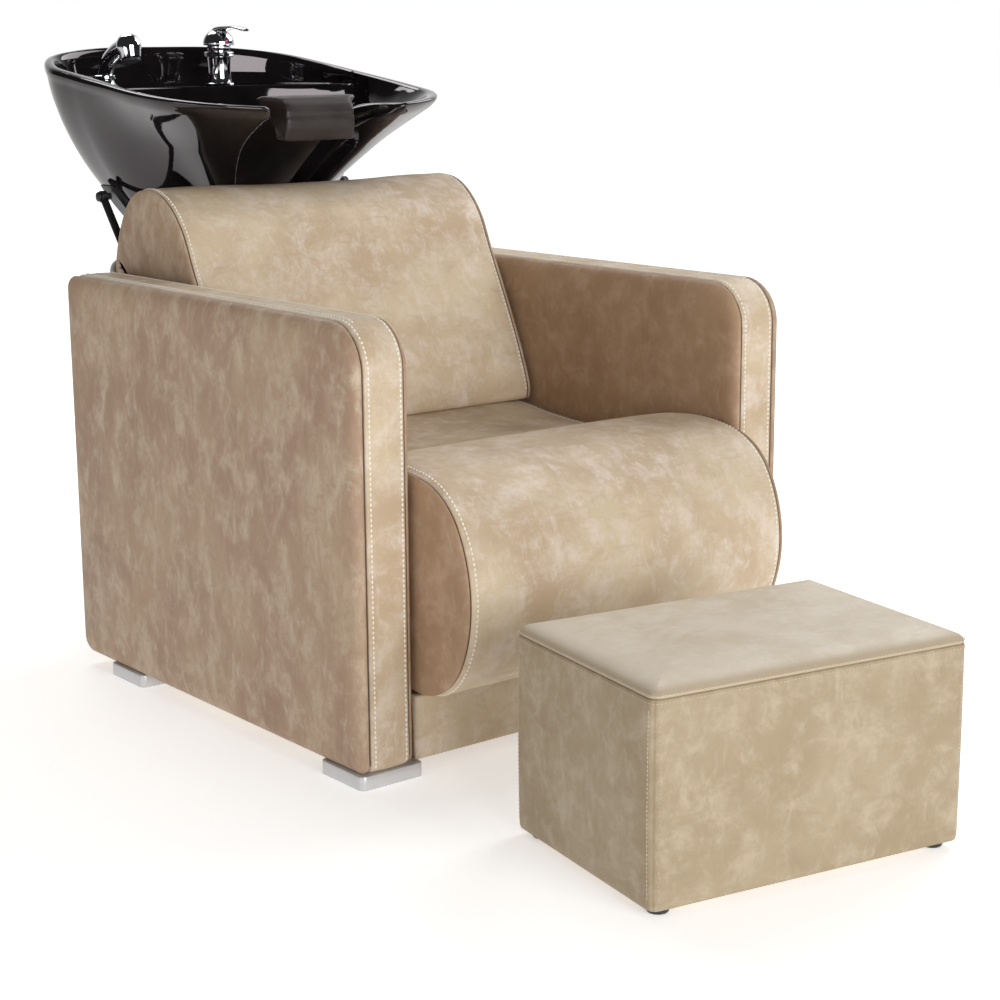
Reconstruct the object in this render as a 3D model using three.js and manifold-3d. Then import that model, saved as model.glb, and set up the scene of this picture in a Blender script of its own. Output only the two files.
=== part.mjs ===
// Shampoo backwash unit: an upholstered armchair that carries a tilting ceramic basin with its
// mixer, handset and waste, and a matching footstool.
// Millimetres, +Z up. While building, X = 0 is the middle of the chair, Y = 0 the front of its
// arms and +Y runs back to the basin; the last lines move the origin to the middle of the floor
// area. Left and right are the sitter's, so the right-hand pieces have negative X.
import * as THREE from 'three';
import Module from 'manifold-3d';
import { mergeVertices } from 'three/addons/utils/BufferGeometryUtils.js';

// ---- Driving dimensions -------------------------------------------------------------------
const GAP = 0.3;
const CHAIR = { width: 750, depth: 750, armTop: 600, armBottom: 20, armWidth: 90 };
const ARM = { padding: 15, wrap: 3, board: 12, frontTop: 62, rearTop: 20, rearBottom: 26, frontBottom: 14 };
const FOOT = { x: 99, y: 96, frontInset: 0.5, rearInset: 87, corner: 8 };
const SEAT = { clearance: 3, deckTop: 252, deckThickness: 16, roll: 112, bend: 452, back: 560, backTop: 374 };
const BACKREST = { clearance: 5, bottom: 392, boardY: 752, boardThickness: 15, coverY: 775, coverTop: 614 };
const KICK = { front: 8, thickness: 12, bottom: 21, top: 108, edge: 3 };
const BASE = {
  railBottom: 30, railTop: 106, frontRailBack: 44, rearRail: 705, rearRailBack: 742, sideRail: 22,
  deckFront: 62, deckBack: 740, legInset: 26, legWidth: 34, legFront: 66, legBack: 100,
};
const BASIN = {
  centreY: 862, bottom: 596, waist: 0.16, wall: 14, rimThickness: 17, rimCrown: 1.5, drainY: 861, drainR: 24,
  floor: 614, deckTop: 867, deckEdge: 938, deckEdgeSweep: 42, deckDrop: 0.35, blend: 9, leastEdge: 0.12,
};
const NOTCH = { halfWidth: 100, grow: 24, spread: 78, spreadDepth: 0.22, depth: 88, dip: 9, sharp: 0.86, end: 1.06 };
const TILT = { y: 905, z: 700, x: 221, boltR: 6, clearance: 0.4, eyeR: 14 };
const SUPPORT = { y0: 790, y1: 820, barTop: 566, barHeight: 26, half: 232, wall: 3, columnHalf: 30 };
const CRADLE = { y0: 894, y1: 926, gap: 4, thickness: 5, topU: 0.58, rimX: 267, rimZ: 889 };
const PAD = { halfWidth: 82 };
const WASTE = { wall: 3, depth: 12, lip: 2, nutWall: 7, tailBottom: 562 };
const MIXER = { x: 65, y: 1011, swivelZ: 930, foot: 4, barrel: 46, socket: 32, bladeHalf: 10 };
const HANDSET = { x: -152, y: 1011, headY: 926, headZ: 933, headR: 20, tubeR: 11, guide: 12, lean: -14 };
const STOOL = { x: -122, y: -417, yaw: -10, width: 435, depth: 300, height: 268, foot: 9, band: 16, wall: 14 };

const INNER_X = CHAIR.width / 2 - CHAIR.armWidth;
const ROUND_SEGMENTS = 20;

// ---- Materials ----------------------------------------------------------------------------
const finish = (color, roughness, metalness) => new THREE.MeshStandardMaterial({ color, roughness, metalness });
const MAT = {
  leather: finish(0xbfa27e, 0.55, 0),
  leatherDark: finish(0xa48b70, 0.55, 0),
  plywood: finish(0xb98d5a, 0.8, 0),
  blackSteel: finish(0x15151a, 0.4, 0.6),
  brushedSteel: finish(0xc4c4c6, 0.35, 1),
  ceramic: finish(0x060607, 0.06, 0),
  rubber: finish(0x2c2725, 0.6, 0),
  chrome: finish(0x9da1a6, 0.05, 1),
  plastic: finish(0x1a1a1c, 0.45, 0),
  red: finish(0xc02020, 0.3, 0),
};

// ---- Small builders -----------------------------------------------------------------------
const root = new THREE.Group();

function part(name, geometry, material, parent = root) {
  const mesh = new THREE.Mesh(geometry, material);
  mesh.name = name;
  parent.add(mesh);
  return mesh;
}

// Booleans ---------------------------------------------------------------------------------
const wasm = await Module();
wasm.setup();

function toSolid(geometry) {
  const bare = geometry.clone();
  bare.deleteAttribute('normal');
  bare.deleteAttribute('uv');
  const merged = mergeVertices(bare, 1e-4);
  const triVerts = new Uint32Array(merged.index.array);
  const vertProperties = new Float32Array(merged.attributes.position.array);
  return new wasm.Manifold(new wasm.Mesh({ numProp: 3, vertProperties, triVerts }));
}

function toGeometry(solid) {
  const mesh = solid.getMesh();
  const geometry = new THREE.BufferGeometry();
  geometry.setAttribute('position', new THREE.BufferAttribute(new Float32Array(mesh.vertProperties), 3));
  geometry.setIndex(new THREE.BufferAttribute(new Uint32Array(mesh.triVerts), 1));
  geometry.computeVertexNormals();
  return geometry;
}

function cut(geometry, ...tools) {
  return toGeometry(tools.reduce((solid, tool) => solid.subtract(toSolid(tool)), toSolid(geometry)));
}

function join(geometry, ...others) {
  return toGeometry(others.reduce((solid, other) => solid.add(toSolid(other)), toSolid(geometry)));
}

// A box between two corners.
function box(x0, x1, y0, y1, z0, z1) {
  return new THREE.BoxGeometry(x1 - x0, y1 - y0, z1 - z0)
    .translate((x0 + x1) / 2, (y0 + y1) / 2, (z0 + z1) / 2);
}

// A side profile, drawn in (Y, Z), extruded along X from x0 to x1 with a bevelled edge.
function sidePanel(shape, x0, x1, bevel = 0) {
  const options = { depth: x1 - x0 - 2 * bevel, curveSegments: 5, bevelEnabled: bevel > 0 };
  Object.assign(options, { bevelThickness: bevel, bevelSize: bevel, bevelOffset: -bevel, bevelSegments: 1 });
  const turn = new THREE.Matrix4().set(0, 0, 1, x0 + bevel, 1, 0, 0, 0, 0, 1, 0, 0, 0, 0, 0, 1);
  return new THREE.ExtrudeGeometry(shape, options).applyMatrix4(turn);
}

// A plan outline, drawn in (X, Y), extruded up from z0 to z1.
function slab(shape, z0, z1, bevel = 0) {
  const options = { depth: z1 - z0 - 2 * bevel, curveSegments: 3, bevelEnabled: bevel > 0 };
  Object.assign(options, { bevelThickness: bevel, bevelSize: bevel, bevelOffset: -bevel, bevelSegments: 1 });
  return new THREE.ExtrudeGeometry(shape, options).translate(0, 0, z0 + bevel);
}

// A rectangle with a radius of its own at each corner: [x0 y0, x1 y0, x1 y1, x0 y1].
function rounded(x0, x1, y0, y1, radii) {
  const [a, b, c, d] = Array.isArray(radii) ? radii : [radii, radii, radii, radii];
  const shape = new THREE.Shape();
  shape.moveTo(x0 + a, y0);
  shape.lineTo(x1 - b, y0);
  shape.absarc(x1 - b, y0 + b, b, -Math.PI / 2, 0);
  shape.lineTo(x1, y1 - c);
  shape.absarc(x1 - c, y1 - c, c, 0, Math.PI / 2);
  shape.lineTo(x0 + d, y1);
  shape.absarc(x0 + d, y1 - d, d, Math.PI / 2, Math.PI);
  shape.lineTo(x0, y0 + a);
  shape.absarc(x0 + a, y0 + a, a, Math.PI, 1.5 * Math.PI);
  return shape;
}

// A turned piece: [radius, height] points from the axis back to the axis, about +Z.
function turned(points, x, y, z, segments = ROUND_SEGMENTS) {
  const profile = points.map(([r, h]) => new THREE.Vector2(r, h));
  return new THREE.LatheGeometry(profile, segments).rotateX(Math.PI / 2).translate(x, y, z);
}

// A round rod between two points.
function rod(from, to, radius, segments = 12) {
  const axis = new THREE.Vector3().subVectors(to, from);
  const turn = new THREE.Quaternion().setFromUnitVectors(new THREE.Vector3(0, 1, 0), axis.clone().normalize());
  const middle = new THREE.Vector3().addVectors(from, to).multiplyScalar(0.5);
  return new THREE.CylinderGeometry(radius, radius, axis.length(), segments)
    .applyQuaternion(turn).translate(middle.x, middle.y, middle.z);
}

const V = (x, y, z) => new THREE.Vector3(x, y, z);

// A closed skin through equal rings of points; the last ring joins the first.
function loftRings(rings) {
  const count = rings[0].length;
  const index = [];
  rings.forEach((_, i) => {
    const next = (i + 1) % rings.length;
    for (let j = 0; j < count; j += 1) {
      const k = (j + 1) % count;
      index.push(i * count + j, next * count + k, i * count + k);
      index.push(i * count + j, next * count + j, next * count + k);
    }
  });
  const geometry = new THREE.BufferGeometry().setFromPoints(rings.flat());
  geometry.setIndex(index);
  return geometry;
}

// ---- Arms ---------------------------------------------------------------------------------
// Each arm: a plywood ring frame with a wrapped strip round it and a padded panel on each side.
function armOutline(inset) {
  const { frontTop, rearTop, rearBottom, frontBottom } = ARM;
  const radii = [frontBottom, rearBottom, rearTop, frontTop].map((r) => Math.max(r - inset, 2));
  return rounded(inset, CHAIR.depth - inset, CHAIR.armBottom + inset, CHAIR.armTop - inset, radii);
}

function ring(outerInset, innerInset) {
  const shape = armOutline(outerInset);
  shape.holes.push(armOutline(innerInset));
  return shape;
}

function buildArm(side, suffix) {
  const outer = CHAIR.width / 2;
  const seam = outer - ARM.padding;
  const inner = INNER_X + ARM.board;
  const span = (a, b) => (side > 0 ? [a, b] : [-b, -a]);
  part(`arm_outer_panel_${suffix}`, sidePanel(armOutline(0), ...span(seam + GAP, outer), 6), MAT.leatherDark);
  part(`arm_wrap_strip_${suffix}`, sidePanel(ring(0, ARM.wrap), ...span(inner + GAP, seam)), MAT.leather);
  part(`arm_frame_${suffix}`, sidePanel(ring(ARM.wrap + GAP, 60), ...span(inner + GAP, seam)), MAT.plywood);
  part(`arm_inner_panel_${suffix}`, sidePanel(armOutline(1), ...span(INNER_X, inner), 4), MAT.leather);
}

// ---- Feet ---------------------------------------------------------------------------------
function buildFeet(side, suffix) {
  const outer = side * (CHAIR.width / 2 - 1);
  const [x0, x1] = [outer, outer - side * FOOT.x].sort((a, b) => a - b);
  const rear = CHAIR.depth - FOOT.rearInset;
  const spans = { front: [FOOT.frontInset, FOOT.frontInset + FOOT.y], rear: [rear - FOOT.y, rear] };
  Object.entries(spans).forEach(([end, [y0, y1]]) => {
    const outline = rounded(x0, x1, y0, y1, FOOT.corner);
    part(`foot_${end}_${suffix}`, slab(outline, 0, CHAIR.armBottom - GAP), MAT.brushedSteel);
  });
}

// ---- Seat ---------------------------------------------------------------------------------
// The cushion comes out from under the backrest and rolls over into a deep round nose.
function seatProfile() {
  const shape = new THREE.Shape();
  shape.moveTo(SEAT.back, SEAT.backTop);
  shape.lineTo(SEAT.bend, 372);
  shape.bezierCurveTo(340, 356, 250, 352, 180, 382);
  shape.bezierCurveTo(120, 404, 60, 410, -5, 398);
  shape.bezierCurveTo(-62, 386, -84, 348, -98, 300);
  shape.bezierCurveTo(-108, 262, -107, 222, -93, 184);
  shape.bezierCurveTo(-80, 148, -52, 114, -5, SEAT.roll);
  shape.lineTo(46, SEAT.roll + 2);
  shape.lineTo(60, 130);
  shape.lineTo(60, SEAT.deckTop + GAP);
  shape.lineTo(SEAT.back, SEAT.deckTop + GAP);
  return shape;
}

function buildSeat() {
  const half = INNER_X - SEAT.clearance;
  const rail = half - 1;
  part('seat_cushion', sidePanel(seatProfile(), -half, half, 5), MAT.leather);
  const deckBottom = SEAT.deckTop - SEAT.deckThickness;
  part('seat_deck', box(-rail, rail, BASE.deckFront, BASE.deckBack, deckBottom, SEAT.deckTop), MAT.plywood);
  const kickBack = KICK.front + KICK.thickness;
  part('kick_panel', sidePanel(rounded(KICK.front, kickBack, KICK.bottom, KICK.top, KICK.edge), -half, half),
    MAT.leather);
  const { railBottom, railTop, frontRailBack, rearRail, rearRailBack, sideRail, legInset, legWidth } = BASE;
  part('front_rail', box(-rail, rail, kickBack + GAP, frontRailBack, railBottom, railTop), MAT.plywood);
  part('rear_rail', box(-rail, rail, rearRail, rearRailBack, railBottom, railTop), MAT.plywood);
  [[1, 'left'], [-1, 'right']].forEach(([side, suffix]) => {
    const [x0, x1] = [side * (rail - sideRail), side * rail].sort((a, b) => a - b);
    part(`side_rail_${suffix}`, box(x0, x1, frontRailBack + GAP, rearRail - GAP, railBottom, railTop), MAT.plywood);
    const [p0, p1] = [side * (rail - legInset - legWidth), side * (rail - legInset)].sort((a, b) => a - b);
    part(`deck_leg_front_${suffix}`, box(p0, p1, BASE.legFront, BASE.legBack, railBottom, deckBottom - GAP),
      MAT.plywood);
  });
}

// ---- Backrest -----------------------------------------------------------------------------
function backProfile() {
  const shape = new THREE.Shape();
  shape.moveTo(452, 378);
  shape.bezierCurveTo(446, 392, 448, 404, 454, 418);
  shape.bezierCurveTo(482, 500, 534, 590, 556, 644);
  shape.bezierCurveTo(576, 690, 616, 726, 664, 726);
  shape.bezierCurveTo(714, 726, 738, 694, 758, 650);
  shape.bezierCurveTo(766, 628, 770, 612, 771, 596);
  shape.lineTo(BACKREST.boardY - 6, 590);
  shape.lineTo(BACKREST.boardY - GAP, BACKREST.bottom);
  shape.lineTo(530, 384);
  return shape;
}

function buildBackrest() {
  const half = INNER_X - BACKREST.clearance;
  part('back_cushion', sidePanel(backProfile(), -half, half, 5), MAT.leather);
  const y1 = BACKREST.boardY + BACKREST.boardThickness;
  part('back_board', box(-half, half, BACKREST.boardY, y1, 108, 588), MAT.plywood);
  const cover = rounded(-half, half, 22, BACKREST.coverTop, [4, 4, 18, 18]);
  const standing = new THREE.Matrix4().set(1, 0, 0, 0, 0, 0, -1, BACKREST.coverY + 8, 0, 1, 0, 0, 0, 0, 0, 1);
  const panel = new THREE.ExtrudeGeometry(cover, { depth: 8, bevelEnabled: false, curveSegments: 4 });
  part('rear_cover', panel.applyMatrix4(standing), MAT.plastic);
}

// ---- Basin --------------------------------------------------------------------------------
// Half of the rim seen from above with its height, from the rear middle round to the front middle.
const RIM_POINTS = [
  V(0, 1108, 929), V(130, 1100, 927), V(225, 1058, 916), V(263, 985, 901), V(267, 900, 889),
  V(266, 800, 876), V(264, 720, 865), V(252, 655, 857), V(222, 612, 851), V(175, 580, 846),
  V(110, 562, 842), V(0, 553, 838),
];
const BASIN_STEPS = 60;
const CROWDING = 0.09;

const smooth = (a, b, v) => THREE.MathUtils.smoothstep(v, a, b);
const mix = THREE.MathUtils.lerp;

function rimCurve() {
  const mirrored = RIM_POINTS.slice(1, -1).reverse().map((p) => V(-p.x, p.y, p.z));
  return new THREE.CatmullRomCurve3([...RIM_POINTS, ...mirrored], true, 'centripetal');
}

// Points along the rim, closer together at the neck notch.
function rimPoints() {
  const curve = rimCurve();
  const points = [];
  for (let i = 0; i < BASIN_STEPS; i += 1) {
    const along = i / BASIN_STEPS;
    const u = (along - CROWDING * Math.sin(2 * Math.PI * (along - 0.5)) + 1) % 1;
    points.push(curve.getPointAt(u));
  }
  return points;
}

// The neck notch: how strongly a place at this distance from the middle is pushed back.
function notch(x, y, u, grow) {
  if (y > BASIN.centreY) return 0;
  const half = NOTCH.halfWidth + grow + NOTCH.spread * (1 - Math.exp(-u / NOTCH.spreadDepth));
  return 1 - smooth(NOTCH.sharp * half, NOTCH.end * half, Math.abs(x));
}

// One point of the outer skin below a rim point: u is 0 at the rim, 1 at the foot of the bowl.
// grow widens the notch, which the inner skin needs to keep its distance.
function outerPoint(rim, u, grow = 0) {
  const side = smooth(640, 900, rim.y);
  const shoulder = smooth(120, 250, Math.abs(rim.x));
  const frontFall = (1 - u) ** mix(1.5, 1.22, shoulder);
  const sideFall = (1 - u ** 1.65) ** (1 / 1.62);
  const scale = BASIN.waist + (1 - BASIN.waist) * mix(frontFall, sideFall, side);
  const bite = notch(rim.x, rim.y, u, grow);
  const y = rim.y + NOTCH.depth * bite;
  const top = rim.z - NOTCH.dip * bite;
  return V(rim.x * scale, BASIN.centreY + (y - BASIN.centreY) * scale, mix(top, BASIN.bottom, u));
}

// The point of the inner skin that backs it, one wall thickness away.
function insidePoint(rim, u) {
  const p = outerPoint(rim, u, NOTCH.grow);
  const radius = Math.hypot(p.x, p.y - BASIN.centreY);
  const inset = mix(BASIN.rimThickness, BASIN.wall, smooth(0, 0.2, u)) * (1 - 0.5 * u ** 4);
  const keep = Math.max(1 - inset / radius, 0.1);
  const lift = BASIN.wall * 1.3 * smooth(0, 0.45, u);
  const z = Math.max(p.z + lift, BASIN.floor);
  return V(p.x * keep, BASIN.centreY + (p.y - BASIN.centreY) * keep, z);
}

// How far behind the deck's front edge a point lies.
const behindEdge = (p) => p.y - (BASIN.deckEdge - BASIN.deckEdgeSweep * (p.x / 220) ** 2);

// The depth at which the inner skin below this rim point passes the deck's front edge.
function edgeDepth(rim) {
  if (behindEdge(insidePoint(rim, 0)) <= 0) return 0;
  let [low, high] = [0, 1];
  for (let i = 0; i < 24; i += 1) {
    const u = (low + high) / 2;
    if (behindEdge(insidePoint(rim, u)) > 0) low = u;
    else high = u;
  }
  return low;
}

// Larger of two heights, rounded where they meet.
function softMax(a, b, radius) {
  const h = Math.max(radius - Math.abs(a - b), 0) / radius;
  return Math.max(a, b) + h * h * radius * 0.25;
}

// Inner skin: k runs from 0 at the rim through 1 at the deck's edge to 2 at the foot.
function innerPoint(rim, k) {
  const solved = edgeDepth(rim);
  const edge = Math.max(solved, BASIN.leastEdge);
  const u = k < 1 ? edge * k : mix(edge, 1, k - 1);
  const p = insidePoint(rim, u);
  const presence = smooth(0.02, 0.3, solved);
  const deck = softMax(p.z, BASIN.deckTop, BASIN.blend);
  const onDeck = presence * (1 - smooth(1, 1 + BASIN.deckDrop, k));
  p.z = mix(p.z, deck, onDeck);
  return p;
}

const outerRing = (u) => rimPoints().map((rim) => outerPoint(rim, u));
const innerRing = (k) => rimPoints().map((rim) => innerPoint(rim, k));

function drainRing(z) {
  return rimPoints().map((rim) => {
    const angle = Math.atan2(rim.y - BASIN.centreY, rim.x);
    return V(BASIN.drainR * Math.cos(angle), BASIN.drainY + BASIN.drainR * Math.sin(angle), z);
  });
}

function buildBasin(parent) {
  const outer = [1, 0.93, 0.82, 0.7, 0.56, 0.42, 0.3, 0.19, 0.09, 0.02].map((u) => outerRing(u));
  const crest = rimPoints().map((rim) => {
    const [p, q] = [outerPoint(rim, 0), innerPoint(rim, 0)];
    return p.lerp(q, 0.5).add(V(0, 0, BASIN.rimCrown));
  });
  const inner = [0.06, 0.13, 0.2, 0.27, 0.5, 0.8, 1, 1.12, 1.24, 1.36, 1.5, 1.67, 1.85, 2].map((k) => innerRing(k));
  const drain = [drainRing(BASIN.floor), drainRing(BASIN.bottom)];
  part('basin', loftRings([...outer, crest, ...inner, ...drain]), MAT.ceramic, parent);
}

// ---- Neck rest ----------------------------------------------------------------------------
// A soft saddle over the rim of the notch.
const PAD_POINTS = [
  [617, 790], [611, 827], [620, 846], [645, 857], [668, 854], [686, 841], [691, 827],
  [681, 824], [673, 833], [665, 839], [641, 839], [636, 833], [635, 792],
];

function buildNeckRest(parent) {
  const shape = new THREE.Shape(PAD_POINTS.map(([y, z]) => new THREE.Vector2(y, z)));
  part('neck_rest', sidePanel(shape, -PAD.halfWidth, PAD.halfWidth), MAT.rubber, parent);
}

// ---- Waste --------------------------------------------------------------------------------
function buildWaste(parent) {
  const { drainY, drainR, floor, bottom } = BASIN;
  const { wall, depth, lip, nutWall, tailBottom } = WASTE;
  const throat = drainR - 1;
  const bore = throat - wall;
  const top = floor + lip;
  const low = bottom - depth;
  const flange = [[bore, low], [throat, low], [throat, top], [throat + 4, top + 1.5], [throat + 3, top + 3.5],
    [bore, top + 1], [bore, low]];
  part('waste_flange', turned(flange, 0, drainY, 0), MAT.chrome, parent);
  const cup = bore - 1;
  const strainer = [[0, floor - depth], [cup, floor - depth], [cup, top + 1], [6, top + 3], [5, top + 12],
    [0, top + 13]];
  part('strainer', turned(strainer, 0, drainY, 0), MAT.chrome, parent);
  const nut = [[throat + 0.4, low], [throat + nutWall, low], [throat + nutWall, bottom - 1],
    [throat + 0.4, bottom - 1], [throat + 0.4, low]];
  part('waste_nut', turned(nut, 0, drainY, 0), MAT.plastic, parent);
  const tail = [[15, tailBottom], [18, tailBottom], [19, low - 1], [16, low - 1], [15, tailBottom]];
  part('waste_tailpiece', turned(tail, 0, drainY, 0), MAT.plastic, parent);
}

// ---- Mixer --------------------------------------------------------------------------------
function arc(radius, from, to, steps, centre = 0) {
  return Array.from({ length: steps + 1 }, (_, i) => {
    const angle = THREE.MathUtils.degToRad(mix(from, to, i / steps));
    return [radius * Math.cos(angle), centre + radius * Math.sin(angle)];
  });
}

function buildMixer(parent) {
  const deck = BASIN.deckTop + GAP;
  const { x, y, swivelZ, foot, barrel, socket, bladeHalf } = MIXER;
  const footRing = [[0, 0], [24, 0], [25, 1.5], [22, foot], [0, foot]];
  part('mixer_base_ring', turned(footRing, x, y, deck), MAT.chrome, parent);
  const body = [[0, foot + GAP], [20, foot + GAP], [19, 24], [20, barrel], [15, barrel], [15, socket], [0, socket]];
  part('mixer_body', turned(body, x, y, deck), MAT.chrome, parent);
  const ringBottom = barrel + GAP;
  const collar = [[15, ringBottom], [23, ringBottom], [24.5, 48], [24.5, 53], [22, 54.5], [15, 54.5],
    [15, ringBottom]];
  part('mixer_collar', turned(collar, x, y, deck), MAT.chrome, parent);
  const ball = arc(20, -20, 90, 8, swivelZ);
  const stem = deck + socket + GAP;
  part('mixer_cartridge', turned([[0, stem], [14.6, stem], [14.6, swivelZ - 7], ...ball], x, y, 0), MAT.chrome,
    parent);
  const shell = [...arc(20.5, 8, 78, 6, swivelZ), [6, swivelZ + 20.7], [0, swivelZ + 20.7],
    [0, swivelZ + 30], [10, swivelZ + 28], [20, swivelZ + 20], [25.5, swivelZ + 9], [26, swivelZ + 3]];
  shell.push(shell[0]);
  const dome = turned(shell.reverse(), x, y, 0);
  const blade = new THREE.Shape();
  blade.moveTo(y - 14, swivelZ + 23);
  blade.lineTo(y - 30, swivelZ + 26);
  blade.lineTo(y - 62, swivelZ + 28);
  blade.lineTo(y - 86, swivelZ + 25);
  blade.lineTo(y - 89, swivelZ + 28);
  blade.lineTo(y - 84, swivelZ + 31);
  blade.lineTo(y - 50, swivelZ + 35);
  blade.lineTo(y - 8, swivelZ + 33);
  blade.lineTo(y, swivelZ + 27);
  part('mixer_lever', join(dome, sidePanel(blade, x - bladeHalf, x + bladeHalf)), MAT.chrome, parent);
  const dot = turned([[0, 0], [4, 0], [4, 1.5], [0, 2]], 0, 0, 0, 16).rotateX(Math.PI / 2);
  part('mixer_indicator', dot.translate(x, y - 26.4, swivelZ + 8), MAT.red, parent);
}

// ---- Handset ------------------------------------------------------------------------------
function buildHandset(parent) {
  const deck = BASIN.deckTop + GAP;
  const { x, y, headY, headZ, headR, tubeR, guide, lean } = HANDSET;
  const bore = tubeR + 1;
  const seatRing = [[bore, 0], [21, 0], [21, 3], [17, 6], [16, guide], [bore, guide], [bore, 0]];
  part('handset_guide', turned(seatRing, x, y, deck), MAT.chrome, parent);
  const collarBottom = guide + GAP;
  const collar = [[bore, collarBottom], [18.5, collarBottom], [18.5, 19], [bore, 19], [bore, collarBottom]];
  part('handset_guide_collar', turned(collar, x, y, deck), MAT.chrome, parent);
  const path = new THREE.CatmullRomCurve3([V(x, y, deck + 2), V(x, y, deck + 24), V(x, y - 12, deck + 44),
    V(x, y - 42, deck + 60), V(x, headY, headZ)]);
  const section = new THREE.Shape().absarc(0, 0, tubeR, 0, 2 * Math.PI);
  const tube = new THREE.ExtrudeGeometry(section, { extrudePath: path, steps: 9, curveSegments: 5 });
  const ball = new THREE.SphereGeometry(headR, 16, 10).translate(x, headY, headZ);
  part('handset', join(tube, ball), MAT.chrome, parent);
  const faceDepth = 7;
  const face = turned([[0, 0], [14, 0], [15, 2], [15, faceDepth], [0, faceDepth]], 0, 0,
    -(headR + faceDepth + 0.4)).rotateX(THREE.MathUtils.degToRad(lean));
  part('spray_face', face.translate(x, headY, headZ), MAT.plastic, parent);
}

// ---- Basin support ------------------------------------------------------------------------
// A column behind the backrest, a crossbar, and a strut on each side up to the tilt pivot.
function buildSupport() {
  const { y0, y1, barTop, barHeight, half, wall, columnHalf } = SUPPORT;
  const barBottom = barTop - barHeight;
  const barTube = cut(box(-half, half, y0, y1, barBottom, barTop),
    box(-half - 5, half + 5, y0 + wall, y1 - wall, barBottom + wall, barTop - wall));
  part('support_crossbar', barTube, MAT.blackSteel);
  const column = cut(box(-columnHalf, columnHalf, y0, y1, 20, barBottom - GAP),
    box(-columnHalf + wall, columnHalf - wall, y0 + wall, y1 - wall, 0, barBottom + 5));
  part('support_column', column, MAT.blackSteel);
  part('column_foot', box(-columnHalf - 10, columnHalf + 10, y0 - 3, y1 + 10, 0, 20 - GAP), MAT.plastic);
  const plateY = BACKREST.coverY + 8 + GAP;
  part('column_plate', box(-70, 70, plateY, y0 - GAP, 60, 520), MAT.blackSteel);
  [[1, 'left'], [-1, 'right']].forEach(([side, suffix]) => {
    const x = side * TILT.x;
    const reach = (TILT.z - barTop - GAP) * (44 / 56);
    const foot = V(x, TILT.y - reach, barTop + GAP);
    const strut = join(rod(V(x, foot.y + 6, foot.z + 8), V(x, TILT.y, TILT.z), 6),
      box(x - 7, x + 7, foot.y - 8, foot.y + 14, foot.z, foot.z + 18),
      rod(V(x - 6.5, TILT.y, TILT.z), V(x + 6.5, TILT.y, TILT.z), TILT.eyeR, 20));
    const hole = rod(V(x - 20, TILT.y, TILT.z), V(x + 20, TILT.y, TILT.z), TILT.boltR + TILT.clearance, 20);
    part(`strut_${suffix}`, cut(strut, hole), MAT.blackSteel);
    const shank = rod(V(x - side * 13, TILT.y, TILT.z), V(x + side * 8, TILT.y, TILT.z), TILT.boltR, 16);
    const head = rod(V(x + side * (6.5 + GAP), TILT.y, TILT.z), V(x + side * 13, TILT.y, TILT.z), 10, 6);
    part(`pivot_bolt_${suffix}`, join(shank, head), MAT.brushedSteel);
  });
}

// The moving cradle: a steel band bent round the underside of the bowl.
function buildCradle(parent) {
  const { y0, y1, gap, thickness, topU } = CRADLE;
  const skin = (offset) => Array.from({ length: 13 }, (_, i) => {
    const u = mix(topU, 1, i / 12);
    const scale = BASIN.waist + (1 - BASIN.waist) * (1 - u ** 1.65) ** (1 / 1.62);
    const point = new THREE.Vector2(CRADLE.rimX * scale, mix(CRADLE.rimZ, BASIN.bottom, u));
    const lean = mix(0.25, 1, smooth(topU, 0.97, u));
    return point.add(new THREE.Vector2(1 - lean * 0.8, -lean).normalize().multiplyScalar(offset));
  });
  const inside = skin(gap);
  const outside = skin(gap + thickness);
  const mirror = (points) => points.map((p) => new THREE.Vector2(-p.x, p.y)).reverse();
  const outline = new THREE.Shape([...outside, ...mirror(outside), ...mirror(inside).reverse(), ...inside.reverse()]);
  const standing = new THREE.Matrix4().set(1, 0, 0, 0, 0, 0, -1, y1, 0, 1, 0, 0, 0, 0, 0, 1);
  const band = new THREE.ExtrudeGeometry(outline, { depth: y1 - y0, bevelEnabled: false }).applyMatrix4(standing);
  part('cradle_band', band, MAT.blackSteel, parent);
}

function buildTiltLever() {
  const x = TILT.x + 13 + GAP;
  const hub = rod(V(x, TILT.y, TILT.z), V(x + 10, TILT.y, TILT.z), 12, 16);
  const arm = rod(V(x + 5, TILT.y, TILT.z), V(x + 5, TILT.y + 78, TILT.z - 28), 4.5, 10);
  const knob = new THREE.SphereGeometry(10, 14, 10).translate(x + 5, TILT.y + 80, TILT.z - 29);
  part('tilt_lever', join(hub, arm, knob), MAT.plastic);
}

// ---- Footstool ----------------------------------------------------------------------------
function buildStool() {
  const { x, y, yaw, width, depth, height, foot, band, wall } = STOOL;
  const stool = new THREE.Group();
  stool.position.set(x, y, 0);
  stool.rotation.z = THREE.MathUtils.degToRad(yaw);
  root.add(stool);
  const [w, d] = [width / 2, depth / 2];
  const split = height - band;
  const inner = rounded(-w + wall, w - wall, -d + wall, d - wall, 4);
  const shell = cut(slab(rounded(-w, w, -d, d, 12), foot, split), slab(inner, foot - 5, split - wall));
  part('stool_body', shell, MAT.leather, stool);
  part('stool_top', slab(rounded(-w, w, -d, d, 12), split + GAP, height, 6), MAT.leather, stool);
  const board = wall + GAP;
  const base = rounded(-w + board, w - board, -d + board, d - board, 4);
  part('stool_base_board', slab(base, foot, foot + 12), MAT.plywood, stool);
  [['front_left', 1, -1], ['front_right', -1, -1], ['rear_left', 1, 1], ['rear_right', -1, 1]]
    .forEach(([name, sx, sy]) => {
      const pad = [[0, 0], [12, 0], [14, foot - GAP], [0, foot - GAP]];
      part(`stool_foot_${name}`, turned(pad, sx * (w - 24), sy * (d - 24), 0, 16), MAT.plastic, stool);
    });
}

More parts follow.
